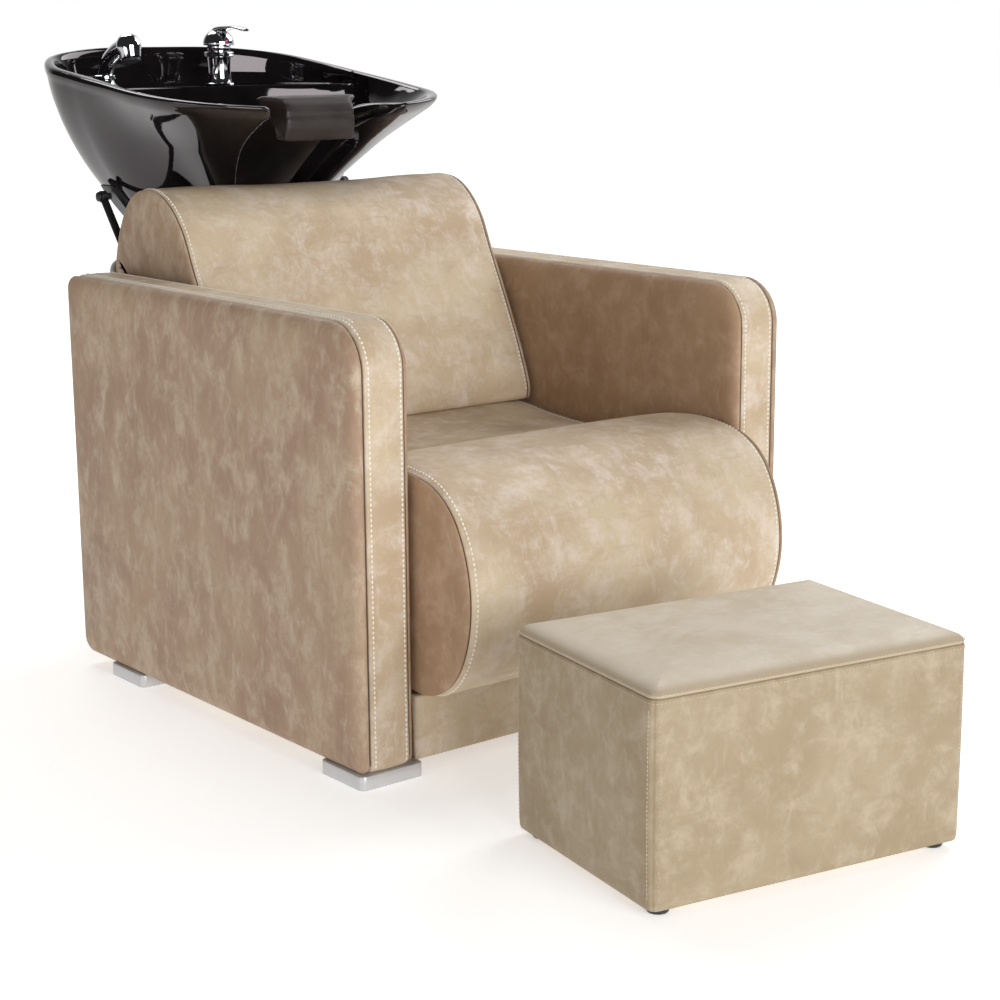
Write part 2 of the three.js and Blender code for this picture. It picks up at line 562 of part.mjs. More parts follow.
// ---- Assembly -----------------------------------------------------------------------------
buildArm(1, 'left');
buildArm(-1, 'right');
buildFeet(1, 'left');
buildFeet(-1, 'right');
buildSeat();
buildBackrest();
buildSupport();
buildTiltLever();
const tilting = new THREE.Group();
root.add(tilting);
buildBasin(tilting);
buildCradle(tilting);
buildNeckRest(tilting);
buildWaste(tilting);
buildMixer(tilting);
buildHandset(tilting);
buildStool();

// The origin is the middle of the floor area that the whole set covers.
const span = new THREE.Box3().setFromObject(root);
root.position.y = -(span.min.y + span.max.y) / 2;

export default root;
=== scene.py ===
"""Looks of the shampoo backwash unit: leatherette armchair, black basin, chrome fittings, footstool."""
import math

import bpy
import numpy as np
from mathutils import Matrix, Vector


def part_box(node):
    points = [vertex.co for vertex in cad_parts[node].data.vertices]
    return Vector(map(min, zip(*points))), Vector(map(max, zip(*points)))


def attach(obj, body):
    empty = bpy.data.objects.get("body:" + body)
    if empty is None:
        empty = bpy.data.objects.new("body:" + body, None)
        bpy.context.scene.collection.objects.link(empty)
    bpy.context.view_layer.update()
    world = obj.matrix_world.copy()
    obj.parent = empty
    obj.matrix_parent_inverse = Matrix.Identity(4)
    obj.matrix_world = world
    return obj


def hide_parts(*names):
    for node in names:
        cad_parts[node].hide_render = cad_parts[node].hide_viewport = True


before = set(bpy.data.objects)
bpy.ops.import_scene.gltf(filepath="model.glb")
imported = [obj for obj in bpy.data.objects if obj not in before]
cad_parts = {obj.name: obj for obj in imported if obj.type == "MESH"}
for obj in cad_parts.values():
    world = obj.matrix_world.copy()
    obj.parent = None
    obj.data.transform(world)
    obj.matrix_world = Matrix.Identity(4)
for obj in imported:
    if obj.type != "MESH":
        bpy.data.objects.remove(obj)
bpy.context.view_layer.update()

# ---- Places: millimetres from the middle of the arms' front, on the floor ------------------
MM = 0.001
ORIGIN = np.array([0.0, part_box("arm_outer_panel_left")[0].y, 0.0])


def place(points):
    """Millimetres from the chair's front middle to metres in the shared frame."""
    return np.asarray(points, float) * MM + ORIGIN


def box_mm(node):
    return [(np.array(corner) - ORIGIN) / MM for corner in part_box(node)]


def smooth(low, high, value):
    t = np.clip((np.asarray(value, float) - low) / (high - low), 0, 1)
    return t * t * (3 - 2 * t)


def mix(a, b, t):
    return a + (b - a) * t


# ---- Outlines and polylines ----------------------------------------------------------------
def arc(centre, radius, start, end, steps):
    """Points of an arc, angles in degrees."""
    angles = np.radians(np.linspace(start, end, steps))
    return [(centre[0] + radius * math.cos(a), centre[1] + radius * math.sin(a)) for a in angles]


def bezier(points, steps):
    """Points along joined cubic curves: the first point, then three points for each curve."""
    points = np.asarray(points, float)
    out = []
    for i in range(0, len(points) - 1, 3):
        a, b, c, d = points[i:i + 4]
        for t in np.linspace(0, 1, steps, endpoint=False):
            out.append((1 - t) ** 3 * a + 3 * t * (1 - t) ** 2 * b + 3 * t * t * (1 - t) * c + t ** 3 * d)
    out.append(points[-1])
    return np.array(out)


def circle(steps):
    """Cosines and sines round a full turn."""
    angles = np.linspace(0, 2 * math.pi, steps, endpoint=False)
    return np.cos(angles), np.sin(angles)


def running(points):
    """The length of a polyline up to each of its points."""
    return np.r_[0, np.cumsum(np.linalg.norm(np.diff(points, axis=0), axis=1))]


def at_lengths(at, along, points):
    """Points of a polyline at the lengths at, where along is the length at each given point."""
    return np.stack([np.interp(at, along, points[:, k]) for k in range(points.shape[1])], -1)


def resample(points, count):
    """Equally spaced points round a closed polyline."""
    points = np.vstack([points, points[:1]])
    along = running(points)
    return at_lengths(np.linspace(0, along[-1], count, endpoint=False), along, points)


def relaxed(values, times=1, axis=0):
    """Values round a closed ring, each drawn towards its neighbours."""
    for _ in range(times):
        values = 0.5 * values + 0.25 * (np.roll(values, 1, axis) + np.roll(values, -1, axis))
    return values


def anticlockwise(points):
    x, y = points[:, 0], points[:, 1]
    return points if np.sum(x * np.roll(y, -1) - y * np.roll(x, -1)) > 0 else points[::-1]


def closed_outline(points, count, times=2):
    """A closed outline of count points with its corners eased."""
    return relaxed(resample(anticlockwise(points), count), times)


def outline_normals(outline):
    """Outward normals of a closed outline that runs anticlockwise."""
    ahead = np.roll(outline, -1, 0) - np.roll(outline, 1, 0)
    normals = np.stack([ahead[:, 1], -ahead[:, 0]], 1)
    return normals / np.linalg.norm(normals, axis=1, keepdims=True)


def rounded_outline(low, high, radii, inset=0.0, arc_steps=14, edge_steps=18):
    """A rectangle with its own corner radii, from the lowest corner round; always the same count."""
    (x0, y0), (x1, y1) = np.asarray(low, float) + inset, np.asarray(high, float) - inset
    r = [max(radius - inset, 1.5) for radius in radii]
    centres = [(x0 + r[0], y0 + r[0]), (x1 - r[1], y0 + r[1]), (x1 - r[2], y1 - r[2]), (x0 + r[3], y1 - r[3])]
    corners = [arc(centres[k], r[k], 180 + 90 * k, 270 + 90 * k, arc_steps) for k in range(4)]
    out = []
    for k in range(4):
        out.extend(corners[k])
        start, end = np.array(corners[k][-1]), np.array(corners[(k + 1) % 4][0])
        out.extend(mix(start, end, t) for t in np.linspace(0, 1, edge_steps + 2)[1:-1])
    return np.array(out)


def side_ring(outline, x):
    """A (Y, Z) outline set at one X."""
    return np.stack([np.full(len(outline), x), outline[:, 0], outline[:, 1]], 1)


def flat_ring(outline, z):
    """An (X, Y) outline set at one height."""
    return np.column_stack([outline, np.full(len(outline), z)])


# ---- Mesh builders -------------------------------------------------------------------------
def new_object(name, vertices, faces, material, sharp=None, metres=False):
    mesh = bpy.data.meshes.new(name)
    mesh.from_pydata([tuple(v) for v in (vertices if metres else place(vertices))], [], faces)
    mesh.validate()
    mesh.shade_smooth()
    if sharp is not None:
        mesh.set_sharp_from_angle(angle=math.radians(sharp))
    obj = bpy.data.objects.new(name, mesh)
    bpy.context.scene.collection.objects.link(obj)
    mesh.materials.append(material)
    return obj


def ring_faces(count, size, closed=False, base=0):
    """Faces of a skin through count rings of size points, the first point being vertex base."""
    faces = []
    for i in range(count if closed else count - 1):
        a, b = base + i * size, base + (i + 1) % count * size
        for j in range(size):
            k = (j + 1) % size
            faces.append((a + j, a + k, b + k, b + j))
    if not closed:
        faces.append(tuple(base + j for j in range(size))[::-1])
        faces.append(tuple(base + (count - 1) * size + j for j in range(size)))
    return faces


def loft(name, rings, material, closed=False, sharp=None):
    """A skin through equal rings of points. closed joins the last ring to the first."""
    rings = np.asarray(rings, float)
    return new_object(name, rings.reshape(-1, 3), ring_faces(*rings.shape[:2], closed), material, sharp)


def lathe(name, profile, centre, material, axis=(0, 0, 1), steps=64, sharp=30, closed=False):
    """A turned piece from [radius, height] points, about an axis through centre."""
    turn = np.array(Vector((0, 0, 1)).rotation_difference(Vector(axis)).to_matrix())
    c, s = circle(steps)
    rings = [np.stack([radius * c, radius * s, np.full(steps, height)], 1) @ turn.T + np.array(centre)
             for radius, height in profile]
    return loft(name, rings, material, closed, sharp)


def tube(name, path, radii, material, sides):
    """A rod along a path that keeps its X, with a radius for each point."""
    path = np.asarray(path, float)
    radii = np.broadcast_to(radii, len(path))
    c, s = circle(sides)
    rings = []
    for i, point in enumerate(path):
        ahead = Vector(path[min(i + 1, len(path) - 1)] - path[max(i - 1, 0)]).normalized()
        up = ahead.cross(Vector((1, 0, 0))).normalized()
        rings.append(point + (np.outer(c, up.cross(ahead)) + np.outer(s, up)) * radii[i])
    return loft(name, rings, material)


def joined(obj, other, sharp):
    """obj with other welded into it as one skin."""
    union = obj.modifiers.new("union", "BOOLEAN")
    union.operation, union.object, union.solver = "UNION", other, "EXACT"
    shape = bpy.data.meshes.new_from_object(obj.evaluated_get(bpy.context.evaluated_depsgraph_get()))
    obj.modifiers.clear()
    obj.data = shape
    bpy.data.objects.remove(other)
    shape.shade_smooth()
    shape.set_sharp_from_angle(angle=math.radians(sharp))
    return obj


def finish_piece(obj, body, slot, *nodes, fill=None):
    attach(obj, body)
    if nodes:
        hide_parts(*nodes)
    return obj


# ---- Materials -----------------------------------------------------------------------------
class Nodes:
    """A new material and short calls for its nodes."""

    def __init__(self, name, color, roughness, metallic=0.0):
        self.material = bpy.data.materials.new(name)
        self.material.use_nodes = True
        self.tree = self.material.node_tree
        self.give(Base_Color=color, Roughness=roughness, Metallic=metallic)
        self.coordinates = self.add("ShaderNodeTexCoord").outputs["Object"]

    def feed(self, socket, value):
        """Link an output to an input, or set the input to a number, vector or colour."""
        if isinstance(value, bpy.types.NodeSocket):
            self.tree.links.new(value, socket)
        else:
            socket.default_value = (*value, 1) if socket.type == "RGBA" else value

    def add(self, kind, values={}, **settings):
        node = self.tree.nodes.new(kind)
        for name, value in settings.items():
            setattr(node, name, value)
        for name, value in values.items():
            self.feed(node.inputs[name], value)
        return node

    def give(self, **values):
        """Feed the surface shader's inputs, with an underscore for each space in a name."""
        for name, value in values.items():
            self.feed(self.tree.nodes["Principled BSDF"].inputs[name.replace("_", " ")], value)
        return self.material

    def mapped(self, scale=(1, 1, 1), offset=(0, 0, 0), turn=(0, 0, 0)):
        values = {"Scale": scale, "Location": offset, "Rotation": turn, "Vector": self.coordinates}
        return self.add("ShaderNodeMapping", values).outputs["Vector"]

    def noise(self, scale, detail=2, roughness=0.5, distortion=0.0, vector=None):
        values = {"Scale": scale, "Detail": detail, "Roughness": roughness, "Distortion": distortion,
                  "Vector": vector or self.coordinates}
        return self.add("ShaderNodeTexNoise", values).outputs["Fac"]

    def cells(self, scale, vector):
        return self.add("ShaderNodeTexVoronoi", {"Scale": scale, "Vector": vector}).outputs["Distance"]

    def ramp(self, value, low, high, out_low=0.0, out_high=1.0):
        values = {"Value": value, "From Min": low, "From Max": high, "To Min": out_low, "To Max": out_high}
        return self.add("ShaderNodeMapRange", values, interpolation_type="SMOOTHSTEP").outputs["Result"]

    def blend(self, factor, first, second):
        return self.add("ShaderNodeMix", {0: factor, 6: first, 7: second}, data_type="RGBA").outputs[2]

    def math(self, operation, first, second):
        return self.add("ShaderNodeMath", {0: first, 1: second}, operation=operation).outputs[0]

    def bump(self, height, strength, distance, **normal):
        values = {"Strength": strength, "Distance": distance, "Height": height, **normal}
        return self.add("ShaderNodeBump", values).outputs["Normal"]


def leather(name, colors, offset, stretch=(1, 1, 1), roll_shade=None):
    """Distressed leatherette: clouds, mottling, pale and brown wisps in two directions, a pebble grain.
    The last argument is (low, high, colour): the heights in metres between which a rolled edge is darkened
    towards colour, a painted shade."""
    tan, light, dark = colors
    n = Nodes(name, tan, 0.5)
    place_at = n.mapped(scale=stretch, offset=offset)
    along = n.mapped(scale=(1, 1, 0.34), offset=offset, turn=(0.35, 0.75, 0.5))
    athwart = n.mapped(scale=(0.38, 1, 1), offset=offset, turn=(0.9, -0.6, -0.45))
    clouds = n.noise(6.5, 5, 0.6, 0.3, place_at)
    mottle = n.noise(26, 8, 0.72, 0.35, place_at)
    pale = n.noise(62, 6, 0.68, 0.7, along)
    brown = n.noise(48, 6, 0.68, 0.6, athwart)
    color = n.blend(n.ramp(clouds, 0.34, 0.66), dark, tan)
    color = n.blend(n.math("MULTIPLY", n.ramp(mottle, 0.42, 0.70), 0.75), color, light)
    color = n.blend(n.math("MULTIPLY", n.ramp(brown, 0.50, 0.72), 0.6), color, dark)
    wisps = n.math("MULTIPLY", n.ramp(pale, 0.52, 0.74), n.ramp(mottle, 0.3, 0.6, 0.25, 0.75))
    color = n.blend(wisps, color, light)
    # Painted shade: between two heights a rolled edge darkens towards a browner colour.
    if roll_shade is not None:
        low, high, shade = roll_shade
        height = n.add("ShaderNodeSeparateXYZ", {0: n.coordinates}).outputs["Z"]
        color = n.blend(n.ramp(height, low, high, 0.85, 0.0), color, shade)
    grain = n.cells(560, place_at)
    fine = n.noise(1500, 2, 0.6, 0, place_at)
    color = n.blend(n.math("MULTIPLY", n.ramp(grain, 0.2, 0.75), 0.14), color, dark)
    height = n.math("ADD", n.math("MULTIPLY", grain, 0.7), n.math("MULTIPLY", fine, 0.4))
    normal = n.bump(height, 0.32, 0.0004)
    normal = n.bump(n.math("ADD", pale, brown), 0.16, 0.0010, Normal=normal)
    normal = n.bump(n.noise(11, 3, 0.5, 0.4, place_at), 0.26, 0.0045, Normal=normal)
    return n.give(Base_Color=color, Roughness=n.ramp(mottle, 0.3, 0.75, 0.58, 0.46), Normal=normal,
                  Specular_IOR_Level=0.36)


def ceramic():
    """Black glaze: deep gloss with a faint orange-peel ripple."""
    n = Nodes("black_glaze", (0.006, 0.005, 0.006), 0.04)
    ripple = n.noise(28, 2, 0.5, 0.2)
    specks = n.noise(420, 2, 0.5, 0)
    return n.give(Base_Color=n.blend(n.ramp(ripple, 0.3, 0.7), (0.005, 0.0045, 0.005), (0.009, 0.007, 0.008)),
                  Roughness=n.ramp(specks, 0.3, 0.8, 0.025, 0.07), Normal=n.bump(ripple, 0.12, 0.0012),
                  Specular_Tint=(1.0, 0.88, 0.93), Coat_Weight=0.25, Coat_Roughness=0.02)


def chrome():
    n = Nodes("chrome", (0.72, 0.73, 0.75), 0.05, 1.0)
    return n.give(Roughness=n.ramp(n.noise(60, 4, 0.6, 0.3), 0.35, 0.75, 0.035, 0.12))


def satin():
    """Polished steel of the feet, with fine wipe marks."""
    n = Nodes("satin_steel", (0.66, 0.66, 0.67), 0.34, 0.35)
    smears = n.noise(40, 3, 0.5, 0.2, n.mapped(scale=(1, 1, 6)))
    color = n.blend(n.ramp(smears, 0.35, 0.7), (0.62, 0.62, 0.63), (0.66, 0.66, 0.67))
    return n.give(Base_Color=color, Roughness=n.ramp(smears, 0.3, 0.7, 0.30, 0.38))


def moulded(name, color, roughness, grain=700, depth=0.0003):
    """Moulded plastic, rubber or powder coat with a fine spark texture."""
    n = Nodes(name, color, roughness)
    cloud = n.noise(20, 3, 0.5)
    lighter = tuple(min(c * 1.5 + 0.004, c + 0.02) for c in color)
    return n.give(Base_Color=n.blend(n.ramp(cloud, 0.35, 0.7), color, lighter),
                  Roughness=n.ramp(cloud, 0.3, 0.7, roughness - 0.06, roughness + 0.08),
                  Normal=n.bump(n.noise(grain, 3, 0.6), 0.4, depth))


def plywood():
    n = Nodes("plywood", (0.55, 0.38, 0.21), 0.7)
    figure = n.noise(9, 6, 0.6, 1.5, n.mapped(scale=(1, 6, 6)))
    fibres = n.noise(220, 2, 0.5, 0, n.mapped(scale=(0.1, 1, 1)))
    return n.give(Base_Color=n.blend(n.ramp(figure, 0.35, 0.65), (0.42, 0.27, 0.14), (0.62, 0.45, 0.26)),
                  Normal=n.bump(fibres, 0.3, 0.0004))


def thread(name, color):
    n = Nodes(name, color, 0.6)
    twist = n.noise(1800, 1, 0.5)
    return n.give(Base_Color=n.blend(twist, tuple(c * 0.8 for c in color), color),
                  Normal=n.bump(twist, 0.5, 0.0002), Sheen_Weight=0.3)


# Leather colours: the ground, the pale wisps and the dark ones.
CREAM = ((0.60, 0.495, 0.345), (0.70, 0.615, 0.535), (0.485, 0.365, 0.245))
# A darker, browner copy of the cream leather for faces turned from the light: painted shade.
SHADED_SIDE = ((0.43, 0.312, 0.207), (0.56, 0.46, 0.34), (0.345, 0.223, 0.152))
OLIVE = ((0.385, 0.308, 0.205), (0.47, 0.395, 0.29), (0.325, 0.25, 0.155))
# A lighter copy of the stool's leather for its top: painted light.
LID_LIGHT = ((0.72, 0.64, 0.52), (0.78, 0.71, 0.61), (0.63, 0.54, 0.41))
# A still darker copy of the leather for the arms' linings and the seat's side panels: painted shade.
LINING_SHADE = ((0.40, 0.265, 0.165), (0.48, 0.345, 0.24), (0.335, 0.21, 0.125))
MAT = {
    "leather_seat": leather("leather_seat", CREAM, (0.3, 0.1, 0.0)),
    "leather_back": leather("leather_back", CREAM, (1.7, 0.4, 2.0)),
    "leather_strip": leather("leather_strip", CREAM, (2.9, 1.1, 0.7)),
    # The arms' outer panels and the backrest's side panels: painted shade in a darker copy of the leather.
    "leather_side": leather("leather_side", SHADED_SIDE, (4.2, 0.3, 1.3), (1, 1.15, 0.75)),
    # The arms' linings and the seat's side panels: painted shade in a darker copy of the leather.
    "leather_lining": leather("leather_lining", LINING_SHADE, (3.6, 1.9, 2.7)),
    "leather_stool": leather("leather_stool", OLIVE, (5.5, 2.2, 0.4)),
    # The stool's top in a lighter copy of its leather, painted light, with painted shade on its rolled edge.
    "leather_lid_painted_light": leather("leather_lid_painted_light", LID_LIGHT, (6.1, 1.2, 3.4), roll_shade=(0.2585, 0.2685, OLIVE[0])),
    "glaze": ceramic(),
    "chrome": chrome(),
    "steel_foot": satin(),
    "black_steel": moulded("black_powder_coat", (0.012, 0.012, 0.013), 0.38, 900, 0.0002),
    "plastic": moulded("black_plastic", (0.018, 0.018, 0.019), 0.42),
    "pad": moulded("gel_pad", (0.016, 0.010, 0.009), 0.46, 420, 0.0007),
    "cover": moulded("grey_laminate", (0.36, 0.35, 0.34), 0.4),
    "plywood": plywood(),
    "thread": thread("cream_thread", (0.93, 0.89, 0.80)),
    "thread_dull": thread("tan_thread", (0.58, 0.49, 0.36)),
    # A dark brown cord laid in the seam grooves: painted shade.
    "seam": thread("seam_shadow_cord", (0.10, 0.06, 0.04)),
    "red": moulded("red_enamel", (0.65, 0.02, 0.02), 0.25),
    "blue": moulded("blue_enamel", (0.02, 0.06, 0.45), 0.25),
}


# ---- Stitches, and dark cords painting shade into the seams --------------------------------
STITCH = {"pitch": 6.6, "length": 4.5, "width": 2.7, "height": 1.6}
SEAM_RADIUS, THREAD_SIDES = 0.9, 6


def stitch_row(name, rows, body="chair", material=MAT["thread"], size=STITCH):
    """Thread dashes along rows of (points, normals) in millimetres, all in one mesh."""
    profile = ((-0.5, 0.15), (-0.38, 0.8), (0, 1.0), (0.38, 0.8), (0.5, 0.15))
    sides = THREAD_SIDES
    c, s = circle(sides)
    vertices, faces = [], []
    for points, normals in rows:
        along = running(points)
        count = max(int(along[-1] / size["pitch"]), 1)
        for at in (np.arange(count) + 0.5) * along[-1] / count:
            middle, before, after = at_lengths([at, at - 1, at + 1], along, points)
            up = at_lengths(at, along, normals)
            ahead = (after - before) / (np.linalg.norm(after - before) + 1e-9)
            up = up - ahead * up.dot(ahead)
            up /= np.linalg.norm(up) + 1e-9
            across = np.cross(ahead, up)
            base = len(vertices)
            for share, girth in profile:
                vertices.extend(middle + ahead * share * size["length"]
                                + np.outer(c, across) * girth * size["width"] / 2
                                + np.outer(s, up) * girth * size["height"])
            for i in range(len(profile) - 1):
                for j in range(sides):
                    k = (j + 1) % sides
                    a, b = base + i * sides, base + (i + 1) * sides
                    faces.append((a + j, b + j, b + k, a + k))
            faces.append(tuple(base + j for j in range(sides)))
            last = base + (len(profile) - 1) * sides
            faces.append(tuple(last + j for j in range(sides))[::-1])
    return finish_piece(new_object(name, vertices, faces, material), body, "leather")


def seam_shadow_line(name, rings):
    """Dark cords lying in the seams along closed rings of points, all in one mesh: painted shade for the seam
    grooves.
    """
    vertices, faces = [], []
    c, s = circle(THREAD_SIDES)
    across = np.array([1.0, 0.0, 0.0])
    for ring in rings:
        ring = resample(ring, max(len(ring), 160))
        ahead = np.roll(ring, -1, 0) - np.roll(ring, 1, 0)
        ahead /= np.linalg.norm(ahead, axis=1, keepdims=True)
        faces += ring_faces(len(ring), THREAD_SIDES, True, len(vertices))
        for point, up in zip(ring, np.cross(ahead, across)):
            vertices.extend(point + SEAM_RADIUS * (np.outer(c, across) + np.outer(s, up)))
    return finish_piece(new_object(name, vertices, faces, MAT["seam"]), "chair", "leather")


# ---- Arms: sections are [x, inset] ----------------------------------------------------------
ARM_RADII = (14, 26, 20, 62)
SIDES = ((1, "left"), (-1, "right"))
PANEL_OUT = ((360.5, 9), (360.6, 3.0), (361.5, 1.0), (363.5, 0.1), (366.5, 0.6), (369.5, 2.4), (372, 5.6),
             (373.9, 10), (375.2, 16), (376.2, 26), (376.9, 44), (377.6, 80), (378.2, 140), (378.4, 230))
PANEL_IN = ((285.2, 231), (285.2, 61), (285.4, 31), (286.2, 19), (287.8, 11), (290.2, 6), (293, 2.8),
            (295.4, 1.5), (296.7, 2.1), (297.2, 3.8), (297.3, 6))
STRIP = ((298.1, 8), (298.3, 3.0), (299.3, 1.0), (301.5, 0.1), (306, -0.4), (314, -0.9), (328, -1.3),
         (342, -0.9), (350, -0.4), (355, 0.0), (357.4, 0.9), (358.5, 2.8), (358.8, 8), (358.8, 12),
         (298.1, 12))
ROW_OUT, ROW_IN, ROW_TOP = 352, 303.5, 345
SEAM_OUT, SEAM_IN = (359.6, 2.2), (297.7, 2.4)


def arm_ring(section, side):
    """The arm's outline at one [x, inset], on one side."""
    x, inset = section
    return side_ring(rounded_outline((0, 20), (750, 600), ARM_RADII, inset), side * x)


def arm_row(x, side, inset):
    """A row of stitches up the arm's front, along its top and down its back."""
    ring = arm_ring((x, inset), side)
    order = np.r_[32:len(ring), 0:5]
    return ring[order], side_ring(outline_normals(ring[:, 1:]), 0)[order]


for side, suffix in SIDES:
    # The outer panels and the linings take darker copies of the leather: painted shade.
    for part, node, sections, slot, fill in (("side", "outer_panel", PANEL_OUT, "leather_side", 0.8),
                                             ("lining", "inner_panel", PANEL_IN, "leather", 0.7),
                                             ("strip", "wrap_strip", STRIP, "leather", None)):
        rings = [arm_ring(section, side) for section in sections][::side]
        piece = loft(f"arm_{part}_{suffix}", rings, MAT[f"leather_{part}"], closed=part == "strip")
        finish_piece(piece, "chair", slot, f"arm_{node}_{suffix}", fill=fill)
    top_row, top_normals = arm_row(ROW_TOP, side, -0.8)
    on_top = top_normals[:, 2] > 0.9
    stitch_row(f"arm_stitches_{suffix}", [arm_row(ROW_OUT, side, 0.1), arm_row(ROW_IN, side, 0.1),
                                          (top_row[on_top], top_normals[on_top])])
    # Dark cords in the arms' seams: painted shade.
    seam_shadow_line(f"arm_seam_shadows_{suffix}", [arm_ring(SEAM_OUT, side), arm_ring(SEAM_IN, side)])


# ---- Steel feet ----------------------------------------------------------------------------
for _, suffix in SIDES:
    for end in ("front", "rear"):
        low, high = box_mm(f"foot_{end}_{suffix}")
        steps = [(0.2, 1.2), (0.6, 0.4), (1.4, 0), (high[2] - 1.2, 0), (high[2] - 0.4, 0.4),
                 (high[2] - 0.1, 1.2)]
        rings = [flat_ring(rounded_outline(low[:2], high[:2], (9,) * 4, i, 10, 3), z) for z, i in steps]
        foot = loft(f"steel_foot_{end}_{suffix}", rings, MAT["steel_foot"], sharp=35)
        finish_piece(foot, "chair", "steel", f"foot_{end}_{suffix}")


# ---- Seat and backrest ---------------------------------------------------------------------
SEAT_CURVE = [(560, 374), (524, 374), (488, 373), (452, 372), (340, 356), (250, 352), (180, 382), (120, 404),
              (60, 410), (-5, 398), (-62, 386), (-84, 348), (-98, 300), (-108, 262), (-107, 222), (-93, 184),
              (-80, 148), (-52, 114), (-5, 112)]
SEAT_HIDDEN = [(46, 114), (60, 130), (60, 252.5), (560, 252.5)]
BACK_CURVE = [(452, 378), (446, 392), (448, 404), (454, 418), (482, 500), (534, 590), (556, 644), (576, 690),
              (616, 726), (664, 726), (714, 726), (738, 694), (758, 650), (766, 628), (770, 612), (771, 596)]
BACK_HIDDEN = [(746, 590), (751.5, 393), (530, 384)]
PRESSURE, LIMIT, SLACK, FRAMES, THIN = 2.5, 5.0, 0.012, 20, 4  # of the cloth; LIMIT in millimetres


def cushion_stations(seam, face):
    """[x, inset] from the middle of a cushion past its seam to its side panel."""
    middle = [(x, -2.0 * (1 - (x / seam) ** 4)) for x in np.linspace(0, seam - 14, 24)]
    edge = [(-9, -0.1), (-5, 0.2), (-2.4, 0.8), (-1.0, 2.0), (0, 6.5), (1.0, 2.4), (2.2, 1.1), (4, 1.0)]
    roll = [(0.62, 2.6), (0.74, 5), (0.85, 9), (0.94, 15), (1.0, 24), (1.04, 40)]
    return middle + [(seam + a, i) for a, i in edge] + [(seam + (face - seam) * a, i) for a, i in roll]


def cushion_rings(outline, stations, soft, bulge):
    """Rings of a cushion. soft weighs the roll of its edges, bulge its crown, point by point."""
    normals = outline_normals(outline)
    both = [(-x, i) for x, i in stations[:0:-1]] + list(stations)
    rings = []
    for x, inset in both:
        weight = bulge if inset < 0 else soft
        rings.append(side_ring(outline - normals * (inset * weight)[:, None], x))
    return np.array(rings), side_ring(normals, 0)


def stuffed(rings, hold):
    """The rings after their skin is blown out as cloth, held where hold (ring by ring, point by point) is 1.
    The cloth has every THIN-th point of a ring, and its movement is spread over the points between."""
    coarse = rings[:, ::THIN]
    obj = loft("stuffing", coarse, MAT["plastic"])
    group = obj.vertex_groups.new(name="hold")
    for index, weight in enumerate(hold[:, ::THIN].ravel()):
        group.add([index], float(weight), "REPLACE")
    cloth = obj.modifiers.new("cloth", "CLOTH")
    values = cloth.settings
    values.quality, values.mass = 6, 0.35
    values.tension_stiffness = values.compression_stiffness = 18
    values.shear_stiffness, values.bending_stiffness = 8, 0.6
    values.use_pressure, values.uniform_pressure_force = True, PRESSURE
    values.shrink_min = -SLACK
    values.vertex_group_mass = "hold"
    values.effector_weights.gravity = 0
    cloth.collision_settings.use_collision = False
    scene = bpy.context.scene
    cloth.point_cache.frame_start, cloth.point_cache.frame_end = 1, FRAMES
    for frame_number in range(1, FRAMES + 1):
        scene.frame_set(frame_number)
    result = obj.evaluated_get(bpy.context.evaluated_depsgraph_get()).data
    flat = np.zeros(len(result.vertices) * 3)
    result.vertices.foreach_get("co", flat)
    moved = flat.reshape(coarse.shape) / MM - ORIGIN / MM - coarse
    scene.frame_set(1)
    bpy.data.objects.remove(obj)
    length = np.linalg.norm(moved, axis=2, keepdims=True)
    moved *= np.minimum(1, LIMIT / np.maximum(length, 1e-6))
    size = rings.shape[1]
    known = np.r_[np.arange(0, size, THIN), size]
    full = np.stack([at_lengths(np.arange(size), known, np.vstack([row, row[:1]])) for row in moved])
    for _ in range(4):
        full = relaxed(full, axis=1)
        full[1:-1] = 0.5 * full[1:-1] + 0.25 * (full[2:] + full[:-2])
    return rings + full * (1 - hold)[:, :, None]


def in_order(keep):
    """Indices of the kept run of a closed ring, starting after its gap."""
    index = np.flatnonzero(keep)
    gap = np.argmax(np.diff(np.r_[index, index[0] + len(keep)]))
    return np.r_[index[gap + 1:], index[:gap + 1]]


def cushion(part, outline, soft, bulge, keep, seam, face, row, painted_shade_leather):
    """A cushion and its stitches; gives the outline of its side seams. keep marks the stitched run."""
    rings, normals = cushion_rings(outline, cushion_stations(seam, face), soft, bulge)
    across = np.abs(rings[:, 0, 0])
    held = np.maximum(smooth(13, 2, np.abs(across - seam)), across > face - 1.5)
    rings = stuffed(rings, np.maximum(held[:, None], 1 - bulge[None, :]))
    pad = loft(f"{part}_pad", rings, MAT[f"leather_{part}"])
    # Past the seam the side panels take a darker leather: painted shade.
    pad.data.materials.append(MAT[painted_shade_leather])
    for polygon in pad.data.polygons:
        polygon.material_index = int(abs(polygon.center.x) > seam * MM)
    finish_piece(pad, "chair", "leather", f"{part}_cushion", fill=0.85)
    run = in_order(keep)
    beside = [rings[np.argmin(np.abs(rings[:, 0, 0] - x))] for x in (row, -row)]
    stitch_row(f"{part}_stitches", [(ring[run], normals[run]) for ring in beside])
    return outline - outline_normals(outline) * (2.6 * soft)[:, None]


SEAT_SEAM, BACK_SEAM = 275, 272.5
seat_outline = closed_outline(np.vstack([bezier(SEAT_CURVE, 40), SEAT_HIDDEN]), 260)
y, z = seat_outline.T
nose = smooth(60, 10, y)
shown = np.maximum(nose, smooth(330, 372, z)) * smooth(100, 130, z)
seat_seam = cushion("seat", seat_outline, 0.22 + 0.78 * nose, shown, (z > 350) | (y < -2),
                    SEAT_SEAM, 282.5, 268, "leather_lining")

